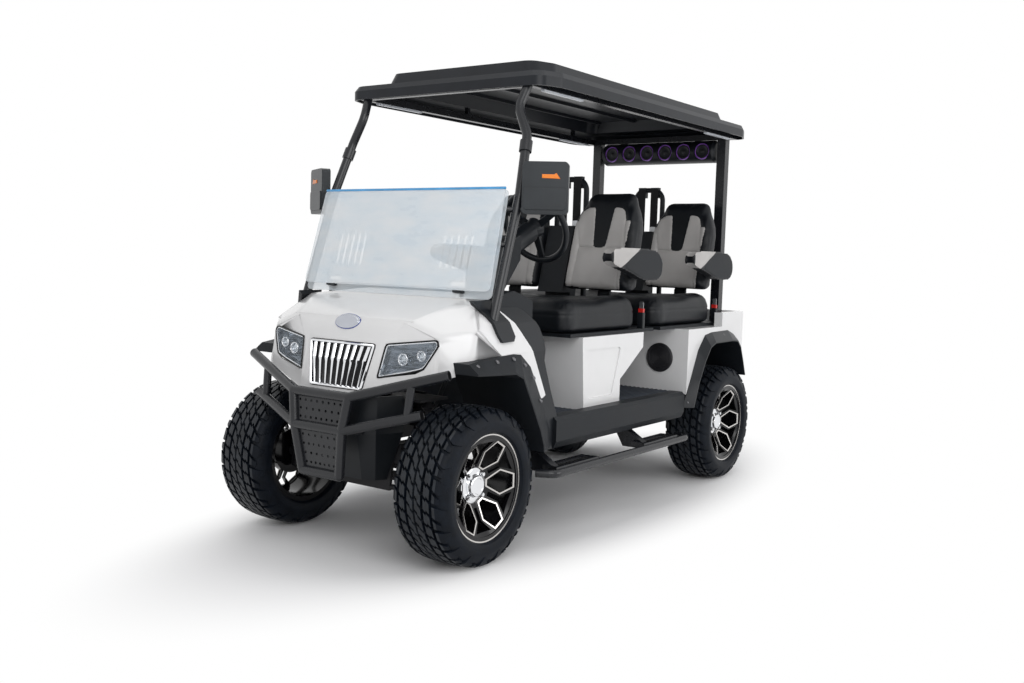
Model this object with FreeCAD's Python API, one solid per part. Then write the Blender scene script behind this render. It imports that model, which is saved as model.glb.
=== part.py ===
import FreeCAD, Part
import math
import os

# Golf cart with four seats, in millimetres.
# Front faces -Y, the driver's left side is +X, +Z is up.
# The origin is on the ground below the middle of the cart.

# Clearances
fit_gap = 0.3
overrun = 30

# Driving dimensions of the running gear
wheelbase = 2124
front_overhang = 324
rear_overhang = 400
wheel_track = 956
tyre_diameter = 604
tyre_width = 244
total_length = front_overhang + wheelbase + rear_overhang
y_front_axle = -total_length / 2 + front_overhang
y_rear_axle = y_front_axle + wheelbase
axle_z = tyre_diameter / 2
wheel_x = wheel_track / 2

# Heights and widths that many pieces share
floor_z = 500
floor_thickness = 20
floor_inset = 56
body_half_width = 556
waist_z = 820
roof_height = 1962
roof_platform_height = 66
roof_rail_drop = 46
floor_half_width = body_half_width - floor_inset
roof_deck_z = roof_height - roof_platform_height
roof_rail_z = roof_deck_z - roof_rail_drop

# Wheels
tyre_crown_drop = 6
tread_half_share = 0.84
bulge_height_share = 0.52
rim_half_width = 92
bead_radius = 190
flange_radius = 204
flange_width = 10
barrel_wall = 6
disc_rim_x = 98
disc_hub_x = 34
disc_thickness = 15
hub_radius = 64
hub_back = 6
hub_cap_radius = 40
hub_cap_reach = 56
drum_radius = 95
drum_depth = 32
spindle_radius = 18
spindle_clearance = 0.08
spindle_reach = 30
spindle_end_gap = 4
spoke_cell_count = 6
lug_count = 4
lug_circle_radius = 52
lug_radius = 8
lug_height = 10
# A spoke cell as (share of the barrel radius, degrees from its middle line)
cell_outline_shares = [(0.38, 12), (0.71, 22.5), (0.985, 8.8)]
gap_outline_shares = [(0.46, 6), (0.72, 4.6), (0.95, 15.5)]

# Steering and front suspension
kingpin_offset = 38
kingpin_x = wheel_x - kingpin_offset
kingpin_radius = 14
kingpin_low_z = 236
kingpin_high_z = 418
upright_radius = 24
arm_boss_radius = 26
arm_boss_height = 22
steering_arm_length = 100
steering_arm_width = 24
steering_arm_thickness = 18
steering_arm_z = 330
steering_eye_radius = 17
tie_rod_radius = 11
tie_rod_eye_height = 27
tie_rod_drop = 26
rack_housing_half = 150
rack_housing_radius = 22
lower_arm_z = 255
upper_arm_z = 396
arm_tube_radius = 11
arm_spread = 75
coilover_gap = 45
coilover_radius = 27
coilover_x = wheel_x - tyre_width / 2 - coilover_gap - coilover_radius
damper_radius = 11
coil_count = 6

# Chassis
rail_width = 50
rail_low_z = 350
rail_high_z = 430
hoop_thickness = 12
hoop_low_z = 240
hoop_high_z = 618
hoop_gap = 52
hoop_flare = 40
hoop_half_high = coilover_x - coilover_radius - hoop_gap
hoop_half_low = hoop_half_high - hoop_flare
rail_x = hoop_half_low + rail_width / 2
hoop_wall = 38
spring_seat_z = 600
spring_seat_rim = 4
spring_seat_half = coilover_x + coilover_radius + spring_seat_rim
spring_seat_wall = 10
cross_member_depth = 60
cross_member_inset = 10
cross_member_half = floor_half_width - cross_member_inset
cross_member_low_z = 400
nose_setback = 249
tail_setback = 60
# Cross members by their distance behind the front axle
cross_member_runs = [440, 1190, 1640]
axle_tube_radius = 34
axle_end_gap = 3
differential_radius = 95
differential_width = 150
motor_radius = 88
motor_length = 300
spring_gap = 46
spring_width = 60
spring_x = wheel_x - tyre_width / 2 - spring_gap - spring_width
spring_leaf = 10
spring_half_length = 330
spring_rise = 62
spring_hanger = 40

# Front cowl
cowl_wall = 6
cowl_low_z = 622
cowl_rake_share = 0.21
cowl_nose_setback = 221
cowl_nose_half = 190
cowl_lamp_inset = 116
cowl_lamp_half = body_half_width - cowl_lamp_inset
cowl_lamp_sweep = 50
cowl_corner_inset = 26
cowl_corner_half = body_half_width - cowl_corner_inset
cowl_corner_sweep = 133
cowl_side_run = 288
cowl_rear_run = 202
cowl_edge_rise_share = 0.31
hood_front_z = 868
hood_badge_z = 905
hood_middle_z = 964
hood_rear_z = 1012
hood_badge_run = 148
hood_crown_fall = 8
shoulder_inset = 101
shoulder_half = body_half_width - shoulder_inset
shoulder_z = 978
hip_inset = 31
hip_half = body_half_width - hip_inset
hip_z = 905
flank_z = 792
# The facet between hood and headlamp, by three points (in from the body's side, behind the axle, height)
shoulder_points = [(256, -138, 915), (26, -138, 812), (106, 107, 995)]
# The cowl's white tail and the dark jamb behind it, as (distance behind the front axle, height)
tail_points = [(163, 972), (197, 935), (251, 871), (299, 809), (350, 715), (406, 610), (383, 599)]
jamb_points = [(215, 993), (274, 979), (336, 948), (384, 881), (400, 828), (390, 750), (440, 631), (496, 512)]
jamb_foot_run = 400

# Grille and headlamps
grille_low_z = 643
grille_high_z = 816
grille_half_low = 137
grille_half_high = 172
grille_frame = 11
grille_depth = 26
grille_bar_count = 9
grille_bar_width = 13
grille_bend_share = 0.58
grille_bar_proud = 7
lamp_inner_x = 202
lamp_outer_x = cowl_lamp_half
lamp_low_z = 690
lamp_high_z = 850
lamp_depth = 46
lamp_lip = 5
# Corners of a headlamp as (share across, share up)
lamp_corner_shares = [(0, 0.02), (0.07, 0.83), (0.96, 1), (1, 0.86), (0.80, 0.30), (0.66, 0.19)]

# Skid valance under the nose
valance_half = 232
valance_low_half = 150
valance_low_z = 282
valance_setback = 219
valance_depth = 70
valance_wall = 5
valance_bulge = 7
valance_crease_share = 0.58
valance_face_share = 0.55
valance_facet_share = 0.86
valance_crease_proud = 26

# Brush guard
guard_tube = 19
guard_post_radius = 16
guard_top_half = 147
guard_top_z = 624
guard_top_back = 12
guard_mid_half = 126
guard_mid_z = 497
guard_low_half = 99
guard_low_z = 319
guard_low_back = 18
guard_wing_inset = 34
guard_wing_half = body_half_width - guard_wing_inset
guard_wing_z = 730
guard_wing_back = 136
guard_lower_wing_inset = 122
guard_lower_wing_half = body_half_width - guard_lower_wing_inset
guard_lower_wing_z = 580
guard_lower_wing_back = 93
guard_post_share = 0.632
guard_lower_post_share = 0.82
guard_bend = 34
guard_plate = 4
guard_hole = 5.5
guard_upper_rows = 3
guard_upper_holes = 8
guard_lower_rows = 4
guard_lower_holes = 7
guard_stay_radius = 15
guard_stay_offset = 7
guard_stay_x = hoop_half_low + guard_stay_offset
guard_stay_z = 480

# Wheel arches: the body's arch line and the flare's lip, as (distance behind the axle, height)
front_body_line = [(-100, 768), (-20, 780), (175, 789), (225, 784),
                   (294, 732), (374, 600), (440, 470), (452, 392)]
front_lip_line = [(-112, 735), (-20, 730), (138, 723), (189, 702),
                  (237, 622), (318, 484), (344, 420), (348, 392)]
rear_body_line = [(-476, 430), (-398, 571), (-325, 710), (-251, 784), (-169, 795),
                  (29, 798), (105, 775), (160, 730), (188, 640), (204, 548)]
rear_lip_line = [(-440, 430), (-384, 560), (-322, 660), (-262, 728), (-205, 747),
                 (8, 749), (78, 742), (118, 705), (156, 630), (192, 548)]
arch_wall = 6
flare_reach = 44
flare_half_width = body_half_width + flare_reach
arch_inner_gap = 35
arch_inner_x = rail_x + rail_width / 2 + arch_inner_gap
flare_root_inset = 86
flare_root_x = body_half_width - flare_root_inset
flare_tip_run = 100

# Trim between cowl and door opening
jamb_width = 40
# The pillar's foot cover as (distance behind the front axle, height)
foot_cover_points = [(10, 1000), (62, 935), (84, 870), (104, 836), (176, 838), (190, 856), (170, 915),
                     (142, 970), (150, 1010)]
foot_cover_inset = 98
foot_cover_inner_x = body_half_width - foot_cover_inset
foot_cover_wall = 14

# Dashboard
dash_inset = 86
dash_half = body_half_width - dash_inset
dash_low_z = 760
dash_rear_run = 420
dash_wall = 14
dash_corner = 12
dash_crown = 14
dash_fall = 28
dash_lip_z = 872
dash_crest_share = 0.4
glovebox_places = [-226, 226]
glovebox_halves = [105, 60]
glovebox_low_z = 888
pod_half = 54
pod_start = 200
glovebox_height = 80

# Windshield
pane_low_inset = 56
pane_low_half = body_half_width - pane_low_inset
pane_high_inset = 72
pane_high_half = body_half_width - pane_high_inset
pane_low_run = 102
pane_high_run = 218
pane_low_z = 994
pane_top_rise = 18
pane_thickness = 5
pane_spacing = 22
pane_hinge_half = 40
pane_hinge_inset = 170
pane_hinge_x = pane_low_half - pane_hinge_inset
pane_hinge_height = 20
pane_hinge_share = 0.1
pane_fold_share = 0.06
pane_clamp_shares = [0.5, 0.82]
pane_clamp_inset = 14
pane_clamp_x = pane_high_half - pane_clamp_inset
pane_clamp_radius = 10
vent_inset = 215
vent_centre_x = pane_low_half - vent_inset
vent_slot_count = 5
vent_pitch = 34
vent_slot_width = 14
vent_low_share = 0.28
vent_high_share = 0.56

# Roof posts
pillar_radius = 19
pillar_bend = 90
pillar_foot_inset = 40
pillar_foot_x = body_half_width - pillar_foot_inset
pillar_foot_run = 70
pillar_foot_z = 850
pillar_pane_inset = 50
pillar_pane_x = body_half_width - pillar_pane_inset
pillar_pane_run = 255
pillar_pane_share = 0.55
pillar_clamp_inset = 82
pillar_clamp_x = body_half_width - pillar_clamp_inset
pillar_clamp_run = 340
pillar_clamp_share = 0.79
pillar_neck_inset = 136
pillar_neck_x = body_half_width - pillar_neck_inset
pillar_neck_run = 352
pillar_neck_share = 0.902
pillar_top_inset = 120
pillar_top_x = body_half_width - pillar_top_inset
pillar_top_run = 396
pillar_height = roof_rail_z - pillar_foot_z
pillar_pane_z = pillar_foot_z + pillar_height * pillar_pane_share
pane_high_z = pillar_pane_z + pane_top_rise
clamp_radius = 25
clamp_height = 46
clamp_drop = 74
post_inset = 158
post_x = body_half_width - post_inset
post_size = 50
post_run = 213
post_wall = 4
post_foot_z = 700

# Roof
roof_front_run = 362
roof_rear_run = 258
roof_front_inset = 51
roof_half_front = body_half_width - roof_front_inset
roof_side_inset = 11
roof_half_side = body_half_width - roof_side_inset
roof_side_run = 470
roof_rear_inset = 56
roof_half_rear = body_half_width - roof_rear_inset
roof_rear_corner = 60
roof_corner_radius = 55
roof_lip_depth = 38
roof_deck_rise = 22
roof_edge_z = roof_deck_z - roof_deck_rise
roof_lip_z = roof_edge_z - roof_lip_depth
roof_wall = 7
roof_edge_inset = 12
roof_deck_inset = 78
roof_platform_inset = 105
roof_platform_top_inset = 128
roof_rib_count = 4
roof_rib_width = 16
roof_rib_depth = 14
rail_tube_inset = 104
rail_tube_x = body_half_width - rail_tube_inset
rail_tube_size = 30
rail_bottom_z = roof_rail_z - rail_tube_size / 2
roof_pad_count = 4
roof_pad_offset = 5
roof_pad_x = rail_tube_x - roof_pad_offset
roof_pad_size = 20
roof_lamp_width = 16
roof_lamp_height = 8
roof_lamp_length = 300

# Sound bar
sound_bar_radius = 62
sound_bar_end_gap = 27
sound_bar_half = post_x - post_size / 2 - sound_bar_end_gap
sound_bar_drop = 78
sound_bar_z = roof_rail_z - sound_bar_drop
sound_bar_run = 228
sound_bar_cap = 14
sound_bar_stay_x = 240
sound_bar_well = 46
sound_bar_well_depth = 15
speaker_count = 6

# Mirrors
mirror_width = 178
mirror_height = 200
mirror_depth = 40
mirror_reach = 55
mirror_centre_x = body_half_width + mirror_reach
mirror_drop = 75
mirror_low_z = pillar_pane_z - mirror_drop
mirror_run = 277
mirror_corner = 18
mirror_toe_degrees = 28
mirror_glass_share = 0.34
mirror_stem_radius = 9

# Floor and sills
toe_board_low_run = 470
toe_board_high_z = 664
toe_board_inset = 101
toe_board_half = body_half_width - toe_board_inset
toe_board_high_run = 306
sill_reach = 16
sill_outer = body_half_width + sill_reach
sill_low_z = 384
sill_high_z = 512
sill_front_run = 470
sill_rear_run = 492
sill_wall = 6
sill_corner = 14

# Side steps
step_reach = 70
step_x = body_half_width + step_reach
step_z = 300
step_tube = 17
step_front_run = 352
step_rear_run = 1590
step_bend = 40
step_inset = 70
step_pad_length = 330
step_pad_width = 96
step_pad_thickness = 12
step_pad_lip = 8
step_pad_shares = [0.17, 0.76]
step_bracket_width = 40

# Seats: a row's place is the foot of its seatback's front face
seat_row_run = 1222
seat_row_pitch = 820
cushion_inset = 66
cushion_half = body_half_width - cushion_inset
cushion_ahead = 570
cushion_behind = 88
cushion_low_z = 836
cushion_high_z = 985
cushion_corner = 60
cushion_crown = 37
seatback_inner = 74
seatback_inset = 94
seatback_outer = body_half_width - seatback_inset
seatback_low_z = 1004
seatback_high_z = 1486
seatback_lean = 132
seatback_thickness = 104
seatback_top_thickness = 73
seatback_shoulder_share = 0.72
seatback_corner = 35
seatback_top_inset = 62
armrest_width = 62
armrest_pin_radius = 12
armrest_gap = 6
armrest_pin_run = 110
armrest_pin_z = 1138
armrest_pin_reach = 60
armrest_corner = 10
# An armrest's side outline as (distance behind the seatback's foot, height)
armrest_points = [(-270, 1146), (-266, 1190), (-234, 1208), (96, 1208), (172, 1190), (204, 1146), (198, 1092),
                  (150, 1070), (20, 1070), (-90, 1106)]
tray_inset = 6
tray_half = cushion_half - tray_inset
tray_ahead = 530
support_run = 98
support_high_z = 1180
support_half = 34
support_wall = 8
panel_low_z = 990
panel_high_z = 1320
panel_setback = 30
panel_depth = 50
hoop_half = 85
hoop_tube = 14
hoop_top_z = 1555
hoop_run = 204
hoop_bend = 60
guide_drop = 44
belt_x = 40
belt_low_z = 1010
belt_width = 46
belt_thickness = 2
buckle_width = 26
buckle_depth = 16
buckle_height = 62
buckle_inset = 10
buckle_x = tray_half - buckle_inset
buckle_run = 108
buckle_low_z = 868
stalk_radius = 6

# Seat bases and rear body; shares are of the height from floor to waist
base_half = floor_half_width
base_ahead = 430
base_rear_top = 92
base_rear_low = -118
base_wall = 8
base_toe = 24
base_brow_share = 0.9
base_overhang_share = 0.78
base_knee_share = 0.35
recess_shares = [0.15, 0.82]
rear_base_ahead = 360
recess_depth = 7
speaker_inset = 100
speaker_x = base_half - speaker_inset
speaker_z = 668
speaker_radius = 62
speaker_ring = 9
speaker_depth = 30
rear_body_run = 300
rear_body_high_z = 892
rear_corner = 90
rear_wall = 46
rear_wall_run = 45
battery_width = 560
battery_length = 270
battery_height = 230
bumper_radius = 24
bumper_inset = 126
bumper_half = body_half_width - bumper_inset
bumper_z = 470
tail_lamp_width = 60
tail_lamp_height = 150
tail_lamp_depth = 26
tail_lamp_inset = 126
tail_lamp_x = body_half_width - tail_lamp_inset
tail_lamp_z = 760

# Steering wheel and column
steering_x = 266
steering_run = 717
steering_z = 1290
steering_tilt_degrees = 26
steering_radius = 170
steering_rim = 14
steering_hub_radius = 46
steering_hub_foot = 32
steering_hub_depth = 46
steering_spoke_width = 34
steering_spoke_depth = 12
steering_spoke_share = 0.7
stub_reach = 80
steering_spoke_count = 3
column_radius = 24
column_length = 400
shroud_radius = 46
shroud_end = 230
shaft_radius = 9
shaft_knee_x = 232
shaft_knee_run = 196
shaft_knee_z = 700
shaft_rail_gap = 57
shaft_end_x = rail_x - rail_width / 2 - shaft_rail_gap

# Pedals
pedal_x = 230
pedal_spacing = 130
pedal_width = 70
pedal_height = 90
pedal_thickness = 12
pedal_run = 462
pedal_hang_run = 250
pedal_z = 600
pedal_arm_radius = 7


def point(x, y, z):
    return FreeCAD.Vector(x, y, z)


along_x = point(1, 0, 0)
along_y = point(0, 1, 0)
along_z = point(0, 0, 1)
origin = point(0, 0, 0)


def block(x_low, x_high, y_low, y_high, z_low, z_high):
    corner = point(x_low, y_low, z_low)
    return Part.makeBox(x_high - x_low, y_high - y_low, z_high - z_low, corner)


def rod(start, end, radius):
    run = end - start
    return Part.makeCylinder(radius, run.Length, start, run)


def mirrored(shape):
    return shape.mirror(origin, along_x)


def on_both_sides(shape):
    return Part.Compound([shape, mirrored(shape)])


def fused(shapes):
    return shapes[0].multiFuse(shapes[1:]).removeSplitter()


def corner_arc(before, corner, after, radius):
    """Start, middle and end of the arc that rounds a corner."""
    into = (corner - before).normalize()
    out = (after - corner).normalize()
    turn = into.getAngle(out)
    reach = radius * math.tan(turn / 2)
    start = corner - into * reach
    end = corner + out * reach
    middle = corner + (out - into).normalize() * (radius / math.cos(turn / 2) - radius)
    return start, middle, end


def rounded_loop(corners, radius):
    """Closed wire through the corners, each rounded by the radius."""
    count = len(corners)
    arcs = []
    for index, corner in enumerate(corners):
        arcs.append(corner_arc(corners[index - 1], corner, corners[(index + 1) % count], radius))
    edges = []
    for index, (start, middle, end) in enumerate(arcs):
        edges.append(Part.Arc(start, middle, end).toShape())
        edges.append(Part.LineSegment(end, arcs[(index + 1) % count][0]).toShape())
    return Part.Wire(edges)


def sharp_loop(corners):
    return Part.makePolygon(corners + [corners[0]])


def prism(loop, direction):
    return Part.Face(loop).extrude(direction)


def side_prism(outline, x_low, x_high, radius=0):
    """Prism along X over an outline of (y, z) pairs."""
    corners = [point(x_low, y, z) for y, z in outline]
    loop = rounded_loop(corners, radius) if radius else sharp_loop(corners)
    return prism(loop, along_x * (x_high - x_low))


def plan_prism(outline, z_low, z_high, radius=0):
    """Prism along Z over an outline of (x, y) pairs."""
    corners = [point(x, y, z_low) for x, y in outline]
    loop = rounded_loop(corners, radius) if radius else sharp_loop(corners)
    return prism(loop, along_z * (z_high - z_low))


def front_prism(outline, y_low, y_high, radius=0):
    """Prism along Y over an outline of (x, z) pairs."""
    corners = [point(x, y_low, z) for x, z in outline]
    loop = rounded_loop(corners, radius) if radius else sharp_loop(corners)
    return prism(loop, along_y * (y_high - y_low))


def symmetric(half_outline):
    """Outline of (x, other) pairs with its mirror image, from the middle outwards."""
    other_half = [(-x, other) for x, other in reversed(half_outline) if x > 0]
    return half_outline + other_half


def bent_tube(points, radius, bend):
    """Round tube along straight runs joined by tangent arcs."""
    edges = []
    last = points[0]
    for index in range(1, len(points) - 1):
        start, middle, end = corner_arc(points[index - 1], points[index], points[index + 1], bend)
        edges.append(Part.LineSegment(last, start).toShape())
        edges.append(Part.Arc(start, middle, end).toShape())
        last = end
    edges.append(Part.LineSegment(last, points[-1]).toShape())
    section = Part.Wire(Part.makeCircle(radius, points[0], points[1] - points[0]))
    return Part.Wire(edges).makePipeShell([section], True, False)


def offset_path(path, distance):
    """Path of (y, z) pairs moved sideways, with mitred corners."""
    moved = []
    for index, (y, z) in enumerate(path):
        before = path[max(index - 1, 0)]
        after = path[min(index + 1, len(path) - 1)]
        normals = []
        for start, end in ((before, (y, z)), ((y, z), after)):
            run = math.hypot(end[0] - start[0], end[1] - start[1])
            if run > 0:
                normals.append(((end[1] - start[1]) / run, (start[0] - end[0]) / run))
        sum_y = sum(normal[0] for normal in normals)
        sum_z = sum(normal[1] for normal in normals)
        size = sum_y * normals[0][0] + sum_z * normals[0][1]
        moved.append((y + sum_y * distance / size, z + sum_z * distance / size))
    return moved


def between(low, high, share):
    return low + (high - low) * share


def wheel_section(outline):
    """Solid of revolution about the X axis over an outline of (x, radius) pairs."""
    corners = [point(x, 0, radius) for x, radius in outline]
    return Part.Face(sharp_loop(corners)).revolve(origin, along_x, 360)


def tyre():
    outer = tyre_diameter / 2
    tread_half = tread_half_share * tyre_width / 2
    shoulder = point(tread_half, 0, outer - tyre_crown_drop)
    bead_top = flange_radius + fit_gap
    bulge = point(tyre_width / 2, 0, between(bead_top, outer, bulge_height_share))
    wall_foot = point(rim_half_width + flange_width, 0, bead_top)
    bead = point(rim_half_width, 0, bead_radius + fit_gap)
    step = point(rim_half_width, 0, bead_top)
    far = [point(-p.x, 0, p.z) for p in (shoulder, bulge, wall_foot, step, bead)]
    edges = [
        Part.Arc(far[0], point(0, 0, outer), shoulder).toShape(),
        Part.Arc(shoulder, bulge, wall_foot).toShape(),
        Part.LineSegment(wall_foot, step).toShape(),
        Part.LineSegment(step, bead).toShape(),
        Part.LineSegment(bead, far[4]).toShape(),
        Part.LineSegment(far[4], far[3]).toShape(),
        Part.LineSegment(far[3], far[2]).toShape(),
        Part.Arc(far[2], far[1], far[0]).toShape(),
    ]
    return Part.Face(Part.Wire(edges)).revolve(origin, along_x, 360)


def polar(radius, degrees, x):
    angle = math.radians(degrees)
    return point(x, radius * math.sin(angle), radius * math.cos(angle))


def spoke_window(outline_shares, middle, radius):
    """Window through the wheel disc, mirrored about its middle line."""
    left = [(share, middle - degrees) for share, degrees in outline_shares]
    right = [(share, middle + degrees) for share, degrees in reversed(outline_shares) if degrees]
    corners = [polar(share * radius, degrees, 0) for share, degrees in left + right]
    return prism(sharp_loop(corners), along_x * (disc_rim_x + overrun))


def rim():
    barrel_inner = bead_radius - barrel_wall
    edge = rim_half_width + fit_gap
    lip = edge + flange_width
    barrel = wheel_section([
        (-lip, flange_radius), (-edge, flange_radius), (-edge, bead_radius),
        (edge, bead_radius), (edge, flange_radius), (lip, flange_radius),
        (lip, barrel_inner), (-lip, barrel_inner),
    ])
    disc_low = hub_radius - barrel_wall
    disc_high = bead_radius - barrel_wall / 2
    disc = wheel_section([
        (disc_rim_x, disc_high), (disc_hub_x, disc_low),
        (disc_hub_x - disc_thickness, disc_low), (disc_rim_x - disc_thickness, disc_high),
    ])
    for cell in range(spoke_cell_count):
        middle = 360 * (cell + 0.5) / spoke_cell_count
        disc = disc.cut(spoke_window(cell_outline_shares, middle, barrel_inner))
        disc = disc.cut(spoke_window(gap_outline_shares, middle + 180 / spoke_cell_count, barrel_inner))
    bore = spindle_radius + spindle_clearance
    hub = wheel_section([
        (-hub_back, bore), (-hub_back, hub_radius + barrel_wall),
        (disc_hub_x - disc_thickness, hub_radius + barrel_wall), (disc_hub_x, hub_radius),
        (disc_hub_x, hub_cap_radius), (hub_cap_reach, hub_cap_radius), (hub_cap_reach, 0),
        (spindle_reach + spindle_end_gap, 0), (spindle_reach + spindle_end_gap, bore),
    ])
    drum = wheel_section([
        (-hub_back, bore), (-hub_back, drum_radius),
        (drum_depth - hub_back, drum_radius), (drum_depth - hub_back, bore),
    ])
    lugs = []
    for lug in range(lug_count):
        foot = polar(lug_circle_radius, 360 * (lug + 0.5) / lug_count, disc_hub_x - disc_thickness)
        lugs.append(Part.makeCylinder(lug_radius, disc_thickness + lug_height, foot, along_x))
    return fused([barrel, disc, hub, drum] + lugs)


def placed_wheel(shape, side, y_axle):
    """A left wheel part moved to its axle end, or mirrored to the right."""
    placed = shape.copy() if side > 0 else mirrored(shape)
    placed.translate(point(side * wheel_x, y_axle, axle_z))
    return placed


def knuckle():
    pin = Part.makeCylinder(
        kingpin_radius, kingpin_high_z - kingpin_low_z, point(kingpin_x, y_front_axle, kingpin_low_z))
    low = lower_arm_z + arm_boss_height / 2 + fit_gap
    high = upper_arm_z - arm_boss_height / 2 - fit_gap
    upright = Part.makeCylinder(upright_radius, high - low, point(kingpin_x, y_front_axle, low))
    axle = point(kingpin_x, y_front_axle, axle_z)
    spindle = rod(axle, point(wheel_x + spindle_reach, y_front_axle, axle_z), spindle_radius)
    arm_half = steering_arm_width / 2
    y_eye = y_front_axle + steering_arm_length
    arm = block(kingpin_x - arm_half, kingpin_x + arm_half, y_front_axle, y_eye,
                steering_arm_z, steering_arm_z + steering_arm_thickness)
    eye = Part.makeCylinder(
        steering_eye_radius, steering_arm_thickness, point(kingpin_x, y_eye, steering_arm_z))
    return fused([pin, upright, spindle, arm, eye])


def kingpin_bore():
    height = kingpin_high_z - kingpin_low_z + 2 * overrun
    foot = point(kingpin_x, y_front_axle, kingpin_low_z - overrun)
    return Part.makeCylinder(kingpin_radius + fit_gap, height, foot)


def tie_rods():
    y_eye = y_front_axle + steering_arm_length
    z_rod = steering_arm_z - tie_rod_drop
    bar = rod(point(-kingpin_x, y_eye, z_rod), point(kingpin_x, y_eye, z_rod), tie_rod_radius)
    foot = z_rod - tie_rod_eye_height / 2
    eyes = [
        Part.makeCylinder(steering_eye_radius, tie_rod_eye_height, point(side * kingpin_x, y_eye, foot))
        for side in (-1, 1)
    ]
    return fused([bar] + eyes)


def wishbone(z_middle):
    """Two tubes from the hoops to the boss on the kingpin."""
    boss = Part.makeCylinder(
        arm_boss_radius, arm_boss_height, point(kingpin_x, y_front_axle, z_middle - arm_boss_height / 2))
    tubes = []
    for side in (-1, 1):
        start = point(hoop_half_low, y_front_axle + side * arm_spread, z_middle)
        end = point(kingpin_x - arm_boss_radius / 2, y_front_axle, z_middle)
        tubes.append(rod(start, end, arm_tube_radius))
    return tubes + [boss]


def coilover():
    """Damper with its coil, from the lower wishbone to the spring seat."""
    top = spring_seat_z - fit_gap
    foot = lower_arm_z
    damper = rod(point(coilover_x, y_front_axle, foot), point(coilover_x, y_front_axle, top), damper_radius)
    coil_low = foot + 3 * arm_tube_radius
    pitch = (top - coil_low) / coil_count
    rings = []
    for index in range(coil_count):
        centre = point(coilover_x, y_front_axle, coil_low + pitch * (index + 0.5))
        rings.append(Part.makeCone(
            damper_radius / 2, coilover_radius, pitch / 2, centre - along_z * pitch / 2, along_z))
        rings.append(Part.makeCone(
            coilover_radius, damper_radius / 2, pitch / 2, centre, along_z))
    return [damper] + rings


def hoop_outline(grow):
    """Outside of the front hoops, seen from ahead."""
    return [(-hoop_half_low - grow, hoop_low_z), (hoop_half_low + grow, hoop_low_z),
            (hoop_half_high + grow, hoop_high_z), (-hoop_half_high - grow, hoop_high_z)]


def front_suspension():
    share = (coilover_x - hoop_half_low) / (kingpin_x - arm_boss_radius / 2 - hoop_half_low)
    spread = arm_spread * (1 - share)
    bridge = rod(point(coilover_x, y_front_axle - spread, lower_arm_z),
                 point(coilover_x, y_front_axle + spread, lower_arm_z), arm_tube_radius)
    reach = arm_spread + overrun
    hoops = front_prism(hoop_outline(fit_gap), y_front_axle - reach, y_front_axle + reach)
    rail_half = rail_x + rail_width / 2 + fit_gap
    rails = block(0, rail_half, y_front_axle - reach, y_front_axle + reach, rail_low_z - fit_gap, rail_high_z)
    lower = fused(wishbone(lower_arm_z) + [bridge] + coilover()).cut(kingpin_bore()).cut(hoops)
    upper = fused(wishbone(upper_arm_z)).cut(kingpin_bore()).cut(hoops).cut(rails)
    return Part.Compound([lower, upper, mirrored(lower), mirrored(upper)])


def front_hoop(y_middle):
    """Open plate frame that carries both front wishbones."""
    opening = [(-hoop_half_low + hoop_wall, hoop_low_z + hoop_wall),
               (hoop_half_low - hoop_wall, hoop_low_z + hoop_wall),
               (hoop_half_high - hoop_wall, hoop_high_z - hoop_wall),
               (-hoop_half_high + hoop_wall, hoop_high_z - hoop_wall)]
    y_low = y_middle - hoop_thickness / 2
    y_high = y_middle + hoop_thickness / 2
    plate = front_prism(hoop_outline(0), y_low, y_high)
    return plate.cut(front_prism(opening, y_low - overrun, y_high + overrun))


def spring_end_z():
    return axle_z + axle_tube_radius + spring_rise


def chassis_frame():
    y_nose = -total_length / 2 + nose_setback
    y_tail = total_length / 2 - tail_setback
    pieces = []
    for side in (-1, 1):
        x_low = side * rail_x - rail_width / 2
        pieces.append(block(x_low, x_low + rail_width, y_nose, y_tail, rail_low_z, rail_high_z))
        pieces.append(front_hoop(y_front_axle + side * arm_spread))
    for y_end in (y_nose, y_tail - cross_member_depth):
        pieces.append(block(-rail_x, rail_x, y_end, y_end + cross_member_depth, rail_low_z, rail_high_z))
    top = floor_z - floor_thickness - fit_gap
    for run in cross_member_runs:
        y_low = y_front_axle + run - cross_member_depth / 2
        pieces.append(block(-cross_member_half, cross_member_half, y_low,
                            y_low + cross_member_depth, cross_member_low_z, top))
    hanger_low_z = spring_end_z() + spring_leaf + fit_gap
    hanger_half = spring_x + spring_width
    for y_end in (y_rear_axle - spring_half_length, y_rear_axle + spring_half_length - spring_hanger):
        pieces.append(block(
            -hanger_half, hanger_half, y_end, y_end + spring_hanger, hanger_low_z, rail_high_z))
    seat_depth = arm_spread + hoop_thickness / 2
    pieces.append(block(-spring_seat_half, spring_seat_half, y_front_axle - seat_depth,
                        y_front_axle + seat_depth, spring_seat_z, spring_seat_z + spring_seat_wall))
    y_rack = y_front_axle + steering_arm_length
    z_rack = steering_arm_z - tie_rod_drop
    pieces.append(rod(point(-rack_housing_half, y_rack, z_rack),
                      point(rack_housing_half, y_rack, z_rack), rack_housing_radius))
    bore = rod(point(-rack_housing_half - overrun, y_rack, z_rack),
               point(rack_housing_half + overrun, y_rack, z_rack), tie_rod_radius + fit_gap)
    return fused(pieces).cut(bore)


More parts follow.
